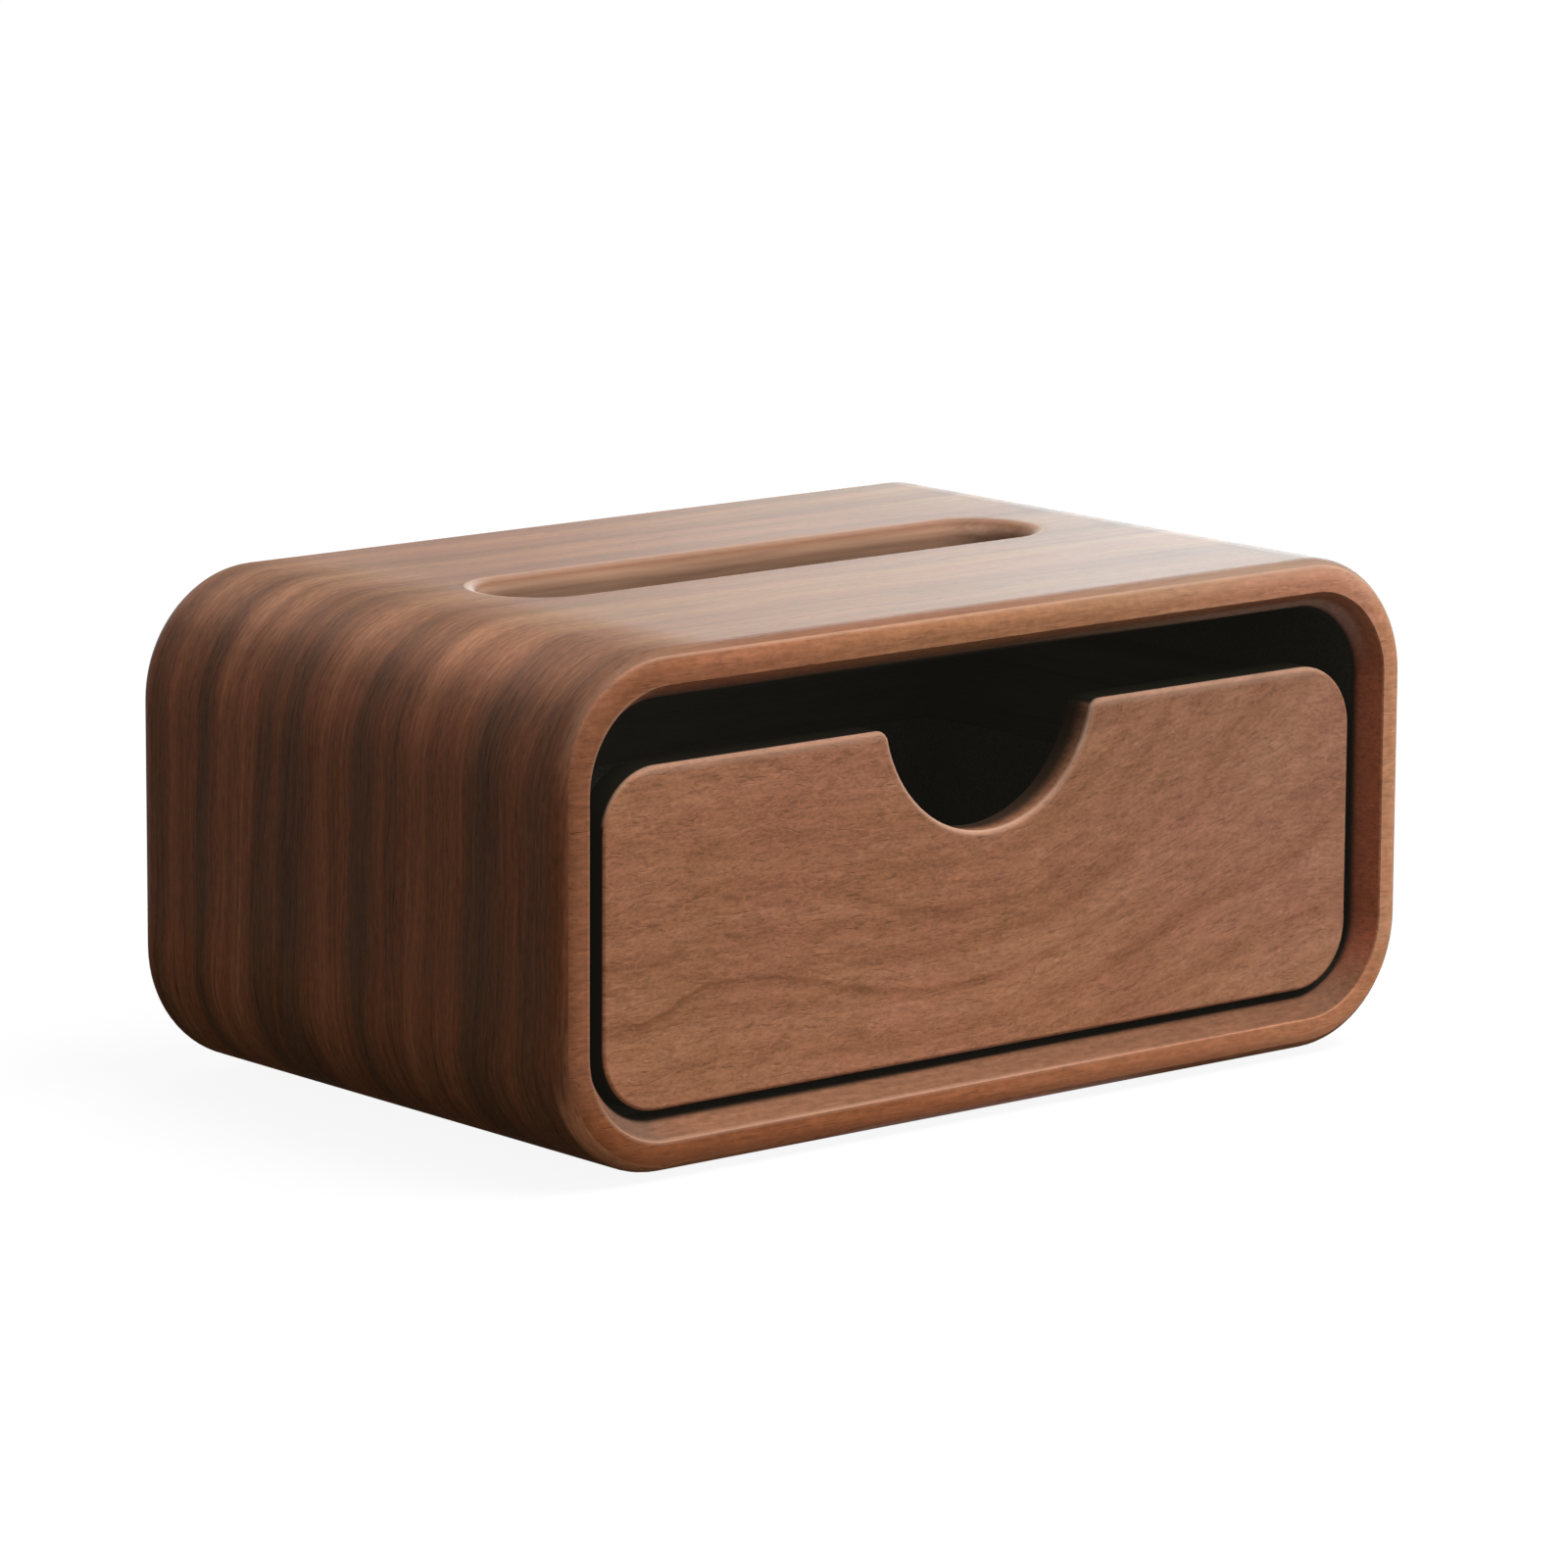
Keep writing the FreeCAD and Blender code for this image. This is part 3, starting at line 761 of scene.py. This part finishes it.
def black_edges_and_highlight(x, y, z):
    """How black the edges are, with painted shade in the notch, and how strong the painted
    highlight along them is.
    """
    behind_face = y - FRONT_FACE
    from_top = FRONT_TOP_EDGE - z
    notch = abs(x).falling(0.0325, 0.0335) * from_top.rising(0.0006, 0.0016)
    at_top = from_top.falling(0.01, 0.012)
    behind = behind_face.rising(0.0004, 0.0007)
    upper_edge = behind_face.rising(0.0009, 0.0013)
    behind = behind + (upper_edge - behind) * at_top
    # in the notch the black comes on with depth: painted shade
    blackened = behind * (1 - notch) + behind_face.rising(0.0006, 0.0058) * notch * 0.92
    # a painted highlight on the rounding of the notch and of the upper edge
    rounded = behind_face.falling(0.001, 0.0016)
    edge = behind_face.rising(0.0001, 0.0005) * rounded
    edge = edge * (notch * (0.75 - x.rising(-0.01, 0.025) * 0.35) + at_top * 0.38)
    from_notch = (x ** 2 + (z - NOTCH_HEIGHT) ** 2).root() - NOTCH_RADIUS
    highlight_line = from_notch.falling(0.0004, 0.0016) * (0.5 - x.rising(-0.012, 0.012) * 0.3)
    highlight_line = highlight_line.at_least(from_top.falling(0.001, 0.0024) * 0.34)
    return blackened, edge.at_least(highlight_line * rounded)


def front_finish():
    finish = Finish("walnut_front")
    x, y, z = finish.place()
    face, relief = front_face(finish, x, y, z)
    blackened, edge = black_edges_and_highlight(x, y, z)
    colour = finish.blend(edge, finish.blend(blackened, face, INNER_BLACK), PAINTED_HIGHLIGHT)
    # the black edges emit a faint painted glow
    glow = finish.shaded(PAINTED_GLOW, blackened)
    return finish.surface(colour, 0.46 + relief * 0.08 + blackened * 0.45, relief, 0.06 * MM,
                          Emission_Color=glow, Emission_Strength=PAINTED_GLOW_STRENGTH, **LACQUER)


walnut_front = front_finish()
finish_node("drawer_front", walnut_front)
print("drawer front nodes:", len(walnut_front.node_tree.nodes))

# %% [markdown]
# The back panel is a board of the same walnut, sawn flat through the log, so
# long pointed arches lie in it. They are parabolas along the board: wide apart
# in the middle, where the saw ran along a growth ring, and close together at
# the edges. Noise bends them, and fine level lines and pores cross them.

# %% Back panel
ARCH_DEPTH = 58.0
ARCH_LENGTH = 9.0
BACK_WOOD = [
    (0.0, (0.092, 0.044, 0.027)), (0.35, (0.15, 0.066, 0.038)), (0.65, (0.225, 0.098, 0.054)),
    (1.0, (0.33, 0.155, 0.088)),
]


def back_finish():
    finish = Finish("walnut_back")
    x, y, z = finish.place()
    bend = finish.noise(x * 9, 1, z * 26) - 0.5
    ripple = finish.noise(x * 40, 8, z * 190) - 0.5
    off_middle = (z - CASE_MIDDLE.z + 0.006) / MM + bend * 16 + ripple * 2
    arch = off_middle ** 2 / ARCH_DEPTH + (x / MM + bend * 30) / ARCH_LENGTH
    rings = finish.noise(arch * 0.62, 2, 0, detail=3, roughness=0.6)
    late_wood = finish.noise(arch * 1.1, 9, 0, detail=1).rising(0.56, 0.66)
    streaks = finish.noise(x * 14, 6, z * 420, detail=3, roughness=0.6)
    lines = finish.noise(x * 60, y * 600, z * 1500, roughness=0.6)
    pores = finish.noise(x * 150, y * 900, z * 2300, detail=0).rising(0.64, 0.76)
    tone = rings + 0.02 + (streaks - 0.5) * 0.55 - late_wood * 0.16
    colour = finish.colours(tone, BACK_WOOD)
    colour = finish.shaded(colour, 1 + (lines - 0.5) * 0.9 - pores * 0.16)
    return finish.surface(colour, 0.44 + lines * 0.08, lines, FINE_RELIEF, **LACQUER)


walnut_back = back_finish()
finish_node("back_panel", walnut_back)
print("back panel nodes:", len(walnut_back.node_tree.nodes))

# %% [markdown]
# The two halves of the shell are thin birch plies, glued and pressed over a
# mould. The plies follow the outline, so the distance inside it picks the ply,
# and plies with the grain across are darker. The tongues in the seams match
# them, and the dowels of the tray are plain beech.

# %% Laminated shell, tongues and dowels
PLY = 1.4 * MM
core_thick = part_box("upper_shell")[1].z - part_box("case_lining")[1].z
print("plies in the shell:", round(core_thick / PLY))


def plies_finish():
    finish = Finish("shell_core")
    x, y, z = finish.place()
    ply = (inside_outline(x, z) / (2 * PLY)).fraction().rising(0.42, 0.58)
    grain = finish.noise(x * 120, y * 30, z * 120, detail=3, roughness=0.6)
    lines = finish.noise(x * 900, y * 60, z * 900, detail=1)
    colour = finish.colours(grain, [(0.3, (0.5, 0.35, 0.21)), (0.7, (0.64, 0.48, 0.31))])
    colour = finish.shaded(colour, 0.78 + ply * 0.18 + (lines - 0.5) * 0.3)
    return finish.surface(colour, 0.62 + grain * 0.1, lines, 0.06 * MM, IOR=1.3)


def beech_finish():
    finish = Finish("dowel_beech")
    x, y, z = finish.place()
    grain = finish.noise(x * 900, y * 900, z * 900, detail=3, roughness=0.6)
    flecks = finish.noise(x * 2600, y * 2600, z * 2600, detail=0).rising(0.6, 0.7)
    colour = finish.colours(grain, [(0.3, (0.4, 0.25, 0.14)), (0.7, (0.58, 0.4, 0.25))])
    colour = finish.shaded(colour, 1 - flecks * 0.3)
    return finish.surface(colour, 0.6 + grain * 0.1, grain, 0.08 * MM, IOR=1.3)


birch = plies_finish()
for name in ("upper_shell", "lower_shell", "seam_spline_left", "seam_spline_right"):
    finish_node(name, birch)
beech = beech_finish()
for name in ("front_dowels", "rear_dowels"):
    finish_node(name, beech)

# %% [markdown]
# The boards of the tray, the runners and the guide rails are stained black.
# Stain sinks into open grain and leaves it visible as faint relief, so the
# colour hardly changes and the bumps and the gloss carry the wood.

# %% Black-stained boards
def black_wood_finish():
    finish = Finish("black_wood")
    x, y, z = finish.place()
    grain = finish.noise(x * 40, y * 9, z * 420, detail=3, roughness=0.65)
    lines = finish.noise(x * 300, y * 30, z * 1500, roughness=0.6)
    colour = finish.colours(grain, [(0.3, (0.018, 0.015, 0.0115)), (0.7, (0.036, 0.03, 0.023))])
    roughness = 0.6 + grain * 0.16
    # this black emits a faint painted glow
    return finish.surface(colour, roughness, lines + grain, 0.1 * MM, IOR=1.2, **PAINTED_GLOW_INPUTS)


black_wood = black_wood_finish()
BLACK_PARTS = ["tray_side_left", "tray_side_right", "tray_back", "tray_bottom",
               "runner_left", "runner_right", "guide_rail_left", "guide_rail_right"]
for name in BLACK_PARTS:
    finish_node(name, black_wood)
print("black-stained pieces:", len(BLACK_PARTS))

# %% [markdown]
# Felt is a mat of short wool fibres. Modelled hairs would be far too many, so
# a twisted noise gives the tangle, a stretched one gives the loose strands,
# and the bumps lift them both.

# %% Black felt
def felt_finish():
    finish = Finish("black_felt")
    x, y, z = finish.place()
    tangle = finish.noise(x * 700, y * 700, z * 700, detail=3, roughness=0.7,
                          distortion=1.6)
    strands = finish.noise((x + y) * 1800, (x - y) * 420, z * 1100, detail=1,
                           distortion=0.8)
    matted = finish.noise(x * 60, y * 60, z * 60)
    mix = tangle * 0.6 + strands * 0.4 + (matted - 0.5) * 0.3
    colour = finish.colours(mix, [(0.3, (0.022, 0.02, 0.016)), (0.7, (0.058, 0.053, 0.043))])
    height = tangle + strands * 0.6
    # the felt emits a faint painted glow
    return finish.surface(colour, 0.95, height, 0.3 * MM, IOR=1.1, **PAINTED_GLOW_INPUTS)


black_felt = felt_finish()
print("felt nodes:", len(black_felt.node_tree.nodes))

# %% [markdown]
# The felt and the feet are modelled here, in place of the plain solids of the
# CAD model. Each is built with mesh operators, and ends as a mesh at the
# origin with its place in its points. One helper does what all of them need:
# it merges doubles, points the faces outwards, smooths all but the sharp
# edges, and hangs the piece on the empty of the body that carries it.

# %% From a bmesh to a piece
SHARP = math.radians(35)
MERGE = 0.01 * MM
NEAR = 0.1 * MM


def make_piece(name, bm, material, body, node):
    """Cleans a bmesh and makes it the piece that stands for one CAD node."""
    bmesh.ops.remove_doubles(bm, verts=bm.verts, dist=MERGE)
    bmesh.ops.recalc_face_normals(bm, faces=bm.faces)
    for face in bm.faces:
        face.smooth = True
    mesh = bpy.data.meshes.new(name)
    bm.to_mesh(mesh)
    bm.free()
    mesh.set_sharp_from_angle(angle=SHARP)
    mesh.materials.append(material)
    piece = bpy.data.objects.new(name, mesh)
    bpy.context.scene.collection.objects.link(piece)
    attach(piece, body)
    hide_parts(node)
    print(name, "faces:", len(mesh.polygons))
    return piece


def box_between(bm, low, high):
    """A block between two opposite corners."""
    size = high - low
    place = Matrix.Translation((low + high) / 2) @ Matrix.Diagonal((*size, 1.0))
    return bmesh.ops.create_cube(bm, size=1.0, matrix=place)["verts"]


def edges_where(bm, test):
    """The edges whose two ends both pass a test."""
    return [edge for edge in bm.edges if all(test(vert.co) for vert in edge.verts)]


def edges_along(bm, axis):
    """The edges whose ends differ along one axis."""
    return [edge for edge in bm.edges
            if abs(edge.verts[0].co[axis] - edge.verts[1].co[axis]) > NEAR]


def only(kind, parts):
    """The parts that are all of one kind, such as edges."""
    return [part for part in parts if isinstance(part, kind)]


def soften(bm, edges, width, segments=3):
    """Rounds edges off."""
    bmesh.ops.bevel(bm, geom=edges, offset=width, offset_type="OFFSET", segments=segments,
                    profile=0.5, affect="EDGES", material=-1)


# %% [markdown]
# The lining of the case is one strip of felt, glued around the inside with a
# hole for the slot. It starts as the flat top with the hole in it. Its edge is
# then swept round, with a spin for each corner and a push for each flat side,
# until it meets the top again. Solidify gives it its thickness.

# %% Felt lining of the case
lining_low, lining_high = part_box("case_lining")
LINING_INSET = case_high.z - lining_high.z
LINING_THICK = 1.5 * MM
LINING_RADIUS = CORNER_RADIUS - LINING_INSET
HOLE_RADIUS = (lipping_high.y - lipping_low.y) / 2
HOLE_SEGMENTS = 46
CORNER_STEPS = 10


def slot_outline(bm, height):
    """A ring of edges like a running track, around the slot."""
    middle = (lipping_high + lipping_low) / 2
    stretch = (lipping_high.x - lipping_low.x) / 2 - HOLE_RADIUS
    place = Matrix.Translation((middle.x, middle.y, height))
    ring = bmesh.ops.create_circle(bm, segments=HOLE_SEGMENTS, radius=HOLE_RADIUS,
                                   matrix=place)
    for vert in ring["verts"]:
        vert.co.x += math.copysign(stretch, vert.co.x - middle.x)


def sweep_round(bm, edges, half_x, half_z, radius):
    """Carries an edge of the top down, under and up to the other side of the top."""
    centre = CASE_MIDDLE
    flat_x, flat_z = half_x - radius, half_z - radius
    corners = [(flat_x, flat_z), (flat_x, -flat_z), (-flat_x, -flat_z), (-flat_x, flat_z)]
    pushes = [(0, -2 * flat_z), (-2 * flat_x, 0), (0, 2 * flat_z), None]
    for (x, z), push in zip(corners, pushes):
        ends = list({vert for edge in edges for vert in edge.verts})
        spun = bmesh.ops.spin(bm, geom=edges + ends, cent=(centre.x + x, 0, centre.z + z),
                              axis=(0, 1, 0), angle=math.pi / 2, steps=CORNER_STEPS,
                              use_duplicate=False)
        edges = only(BMEdge, spun["geom_last"])
        if push:
            pushed = bmesh.ops.extrude_edge_only(bm, edges=edges)["geom"]
            bmesh.ops.translate(bm, verts=only(BMVert, pushed), vec=(push[0], 0, push[1]))
            edges = only(BMEdge, pushed)


bm = bmesh.new()
half = (lining_high - lining_low) / 2
flat_x = half.x - LINING_RADIUS
top = Matrix.Translation((0, (lining_low.y + lining_high.y) / 2, lining_high.z))
bmesh.ops.create_grid(bm, x_segments=1, y_segments=1, size=1.0,
                      matrix=top @ Matrix.Diagonal((flat_x, half.y, 1.0, 1.0)))
bmesh.ops.delete(bm, geom=bm.faces[:], context="FACES_ONLY")
slot_outline(bm, lining_high.z)
bmesh.ops.triangle_fill(bm, use_beauty=True, use_dissolve=False, edges=bm.edges[:])
right = edges_where(bm, lambda co: co.x > flat_x - NEAR)
sweep_round(bm, right, half.x, half.z, LINING_RADIUS)
bmesh.ops.remove_doubles(bm, verts=bm.verts, dist=2 * MERGE)
bmesh.ops.recalc_face_normals(bm, faces=bm.faces)
bmesh.ops.solidify(bm, geom=bm.faces[:], thickness=LINING_THICK)
case_felt = make_piece("felt_case_lining", bm, black_felt, "case", "case_lining")
wrap = 4 * (CASE_HALF.x + CASE_HALF.z - 2 * CORNER_RADIUS)
wrap += 2 * math.pi * (LINING_RADIUS - LINING_THICK / 2)

# %% [markdown]
# The felt on the back panel is a flat sheet. A block is enough for it, with
# its corners and its front edge rounded.

# %% Felt on the back panel
low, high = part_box("back_lining")
bm = bmesh.new()
box_between(bm, low, high)
soften(bm, edges_along(bm, 1), LINING_RADIUS - LINING_THICK, CORNER_STEPS)
soften(bm, edges_where(bm, lambda co: co.y < low.y + NEAR), 0.4 * MM)
back_felt = make_piece("felt_back_lining", bm, black_felt, "case", "back_lining")
print("back lining cut, mm:", round((high.x - low.x) / MM), "x", round((high.z - low.z) / MM))

# %% [markdown]
# In the tray lie a sheet on the floor and a band around the walls. The sheet
# is a block again. The band is a block without its top and floor, made as
# thick as the felt.

# %% Felt in the tray
TRAY_FELT = 1.0 * MM
low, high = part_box("tray_base_felt")
bm = bmesh.new()
box_between(bm, low, high)
soften(bm, edges_where(bm, lambda co: co.z > high.z - NEAR), 0.35 * MM)
base_felt = make_piece("felt_tray_base", bm, black_felt, "drawer", "tray_base_felt")

low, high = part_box("tray_wall_felt")
bm = bmesh.new()
box_between(bm, low, high)
ends = [face for face in bm.faces if abs(face.normal.z) > 0.9]
bmesh.ops.delete(bm, geom=ends, context="FACES_ONLY")
soften(bm, edges_along(bm, 2), 1.6 * MM, 4)
bmesh.ops.recalc_face_normals(bm, faces=bm.faces)
bmesh.ops.solidify(bm, geom=bm.faces[:], thickness=TRAY_FELT)
soften(bm, edges_where(bm, lambda co: co.z > high.z - NEAR), 0.3 * MM, 2)
wall_felt = make_piece("felt_tray_wall", bm, black_felt, "drawer", "tray_wall_felt")

# %% [markdown]
# Two felt buttons behind the tray soften its stop, and four rubber pads keep
# the box from sliding on a table. All are short discs with a rounded rim. Each
# set is one piece, as it is one node of the CAD model.

# %% Discs with a rounded rim
DISC_SEGMENTS = 40


def add_disc(bm, centre, radius, thick, turn, rounding):
    """A disc around its axis, which turn swings out of the upright."""
    place = Matrix.Translation(centre) @ turn
    disc = bmesh.ops.create_cone(bm, cap_ends=True, cap_tris=False, segments=DISC_SEGMENTS,
                                 radius1=radius, radius2=radius, depth=thick, matrix=place)
    verts = set(disc["verts"])
    axis = turn @ Vector((0, 0, 1))
    rim = [edge for edge in bm.edges if verts.issuperset(edge.verts)
           and abs((edge.verts[0].co - edge.verts[1].co).normalized().dot(axis)) < 0.5]
    soften(bm, rim, rounding)


def discs(name, node, material, radius, rounding, turn, centres):
    """One piece of several discs, as thick as the node that they stand for."""
    low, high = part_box(node)
    thick = (high.y - low.y) if turn else (high.z - low.z)
    bm = bmesh.new()
    for centre in centres:
        add_disc(bm, centre, radius, thick, turn or Matrix.Identity(4), rounding)
    return make_piece(name, bm, material, "case", node)


BUTTON_ROUNDING = 0.7 * MM
low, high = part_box("rear_buffers")
button_radius = (high.z - low.z) / 2
button_places = [Vector((x, (low.y + high.y) / 2, (low.z + high.z) / 2))
                 for x in (low.x + button_radius, high.x - button_radius)]
discs("felt_buttons", "rear_buffers", black_felt, button_radius,
      BUTTON_ROUNDING, Matrix.Rotation(math.pi / 2, 4, "X"), button_places)

# %% [markdown]
# Rubber feet are moulded: an even black with a faint orange-peel skin and a
# little dust in its dimples. The bump does most of the work.

# %% Rubber feet
FOOT_RADIUS = 7 * MM
FOOT_ROUNDING = 0.45 * MM


def rubber_finish():
    finish = Finish("foot_rubber")
    x, y, z = finish.place()
    skin = finish.noise(x * 1500, y * 1500, z * 1500)
    dust = finish.noise(x * 240, y * 240, z * 240, detail=3, roughness=0.7)
    colour = finish.colours(dust, [(0.35, (0.014, 0.014, 0.014)), (0.75, (0.04, 0.038, 0.036))])
    return finish.surface(colour, 0.62 + dust * 0.2, skin, 0.12 * MM, IOR=1.4)


low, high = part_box("foot_pads")
foot_places = [Vector((x, y, (low.z + high.z) / 2))
               for x in (low.x + FOOT_RADIUS, high.x - FOOT_RADIUS)
               for y in (low.y + FOOT_RADIUS, high.y - FOOT_RADIUS)]
discs("rubber_feet", "foot_pads", rubber_finish(), FOOT_RADIUS,
      FOOT_ROUNDING, None, foot_places)

# %% [markdown]
# The camera is a long lens about 1.6 metres away, turned to the left corner
# and a little above the top of the box. It is turned at the point that it
# looks at and then steps back, which is how one would move it.

# %% Camera
FRAME_PIXELS = 1600.0
FOCAL_PIXELS = 8004.4
SENSOR = 36.0
CAMERA_YAW = math.radians(40.322)
CAMERA_PITCH = math.radians(10.93)
CAMERA_ROLL = math.radians(0.311)
CAMERA_TARGET = Vector((-61.27, -74.0, 80.17)) * MM
CAMERA_DISTANCE = 1.6275

lens = bpy.data.cameras.new("camera")
lens.sensor_width = SENSOR
lens.lens = SENSOR * FOCAL_PIXELS / FRAME_PIXELS
camera = bpy.data.objects.new("camera", lens)
bpy.context.scene.collection.objects.link(camera)
turned = (Matrix.Rotation(-CAMERA_YAW, 4, "Z")
          @ Matrix.Rotation(math.pi / 2 - CAMERA_PITCH, 4, "X")
          @ Matrix.Rotation(CAMERA_ROLL, 4, "Z"))
step_back = Matrix.Translation((0, 0, CAMERA_DISTANCE))
camera.matrix_world = Matrix.Translation(CAMERA_TARGET) @ turned @ step_back
bpy.context.scene.camera = camera
print("lens in mm:", round(lens.lens, 1))

# %% [markdown]
# The light is a plain soft studio: a broad key light from high up on the
# right, and weaker ones from the front and the back. Lamps of the sun type
# light the floor as evenly as the box. Three panels low behind the box are
# there for their reflection: they draw the pale sheen over the top.

# %% Lamps
SUNS = [
    # name, direction of the light's source, level on a white surface, softness in degrees
    ("key_light", (0.28, -0.38, 0.876), 1.28, 35),
    ("front_light", (0.25, -0.93, 0.25), 0.18, 40),
    ("back_light", (0.25, 0.93, 0.28), 0.2, 40),
]
SHEEN_AIM = Vector((0, 0, 0.1))
SHEEN_HEIGHT = 0.978
SHEEN_PANELS = [
    # name, place, width, watts and colour
    ("sheen_right", (1.206, 0.942, 0.568), 0.45, 10.2, (0.74, 0.93, 0.98)),
    ("sheen_middle", (1.004, 1.155, 0.568), 0.168, 1.9, (0.85, 1.0, 0.95)),
    ("sheen_left", (0.683, 1.369, 0.568), 0.651, 1.0, (0.8, 1.0, 0.9)),
]
scene = bpy.context.scene
scene.view_settings.view_transform = "Standard"


def add_lamp(data, towards_light, place=(0, 0, 0)):
    """Adds a lamp, turned so that its light comes from that direction."""
    lamp = bpy.data.objects.new(data.name, data)
    scene.collection.objects.link(lamp)
    lamp.location = place
    lamp.rotation_mode = "QUATERNION"
    lamp.rotation_quaternion = Vector(towards_light).to_track_quat("Z", "Y")
    lamp.visible_camera = data.type == "SUN"


for name, direction, level, softness in SUNS:
    sun = bpy.data.lights.new(name, "SUN")
    sun.energy = level * math.pi
    sun.angle = math.radians(softness)
    add_lamp(sun, direction)
for name, place, width, watts, colour in SHEEN_PANELS:
    panel = bpy.data.lights.new(name, "AREA")
    panel.shape = "RECTANGLE"
    panel.size = width
    panel.size_y = SHEEN_HEIGHT
    panel.energy = watts
    panel.color = colour
    add_lamp(panel, Vector(place) - SHEEN_AIM, place)

# %% [markdown]
# The world is white to the eye and in reflections, and grey for the light that
# it sheds, so a white background doesn't wash out the colours.

# %% World
STUDIO_GREY = (0.5, 0.5, 0.5, 1.0)
WHITE = (1.0, 1.0, 1.0, 1.0)


def seen_directly(finish):
    """1 for what is seen, directly or in gloss or glass, and 0 for the light it sheds."""
    direct, in_gloss, in_glass = (finish.node("LightPath", output=f"Is {kind} Ray")
                                  for kind in ("Camera", "Glossy", "Transmission"))
    return (direct + in_gloss + in_glass).at_most(1)


studio = Finish("studio", bpy.data.worlds)
scene.world = studio.owner
light = studio.blend(seen_directly(studio), STUDIO_GREY, WHITE)
studio.node("OutputWorld", [studio.node("Background", [light])])
print("world nodes:", len(studio.tree.nodes))

# %% [markdown]
# The floor is white to the eye too. A part of its brightness is lit and the
# rest is its own, so it takes a faint shadow. It is staging, and isn't a part
# of the model.

# %% Floor
FLOOR_REACH = 8.0
LIT_PART = (0.065, 0.065, 0.065, 1.0)
OWN_PART = 0.91
THROWN_BACK = (0.06, 0.06, 0.06, 1.0)


def floor_finish():
    finish = Finish("pale_floor")
    x, y = finish.place()[:2]
    grain = finish.noise(x * 30, y * 30, 0) * 0.01
    lit = finish.shaded(LIT_PART, 1 + grain)
    pale = finish.node("BsdfDiffuse", {"Color": lit})
    glow = finish.node("Emission", {"Color": WHITE, "Strength": OWN_PART})
    bright = finish.node("AddShader", [pale, glow])
    dim = finish.node("BsdfDiffuse", {"Color": THROWN_BACK})
    both = finish.node("MixShader", [seen_directly(finish), dim, bright])
    finish.node("OutputMaterial", [both])
    return finish.owner


bm = bmesh.new()
bmesh.ops.create_grid(bm, x_segments=1, y_segments=1, size=FLOOR_REACH)
floor_mesh = bpy.data.meshes.new("floor")
bm.to_mesh(floor_mesh)
bm.free()
floor_mesh.materials.append(floor_finish())
floor = bpy.data.objects.new("floor", floor_mesh)
scene.collection.objects.link(floor)
floor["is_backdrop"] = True
print("floor, m:", 2 * FLOOR_REACH, "across")

# %% [markdown]
# The size of the box around the finished model is printed. It should be the
# same as the size of the box of the CAD model.

# %% Sizes for the record
low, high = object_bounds()
print("size in mm:", [round(v / MM, 2) for v in Vector(high) - Vector(low)])
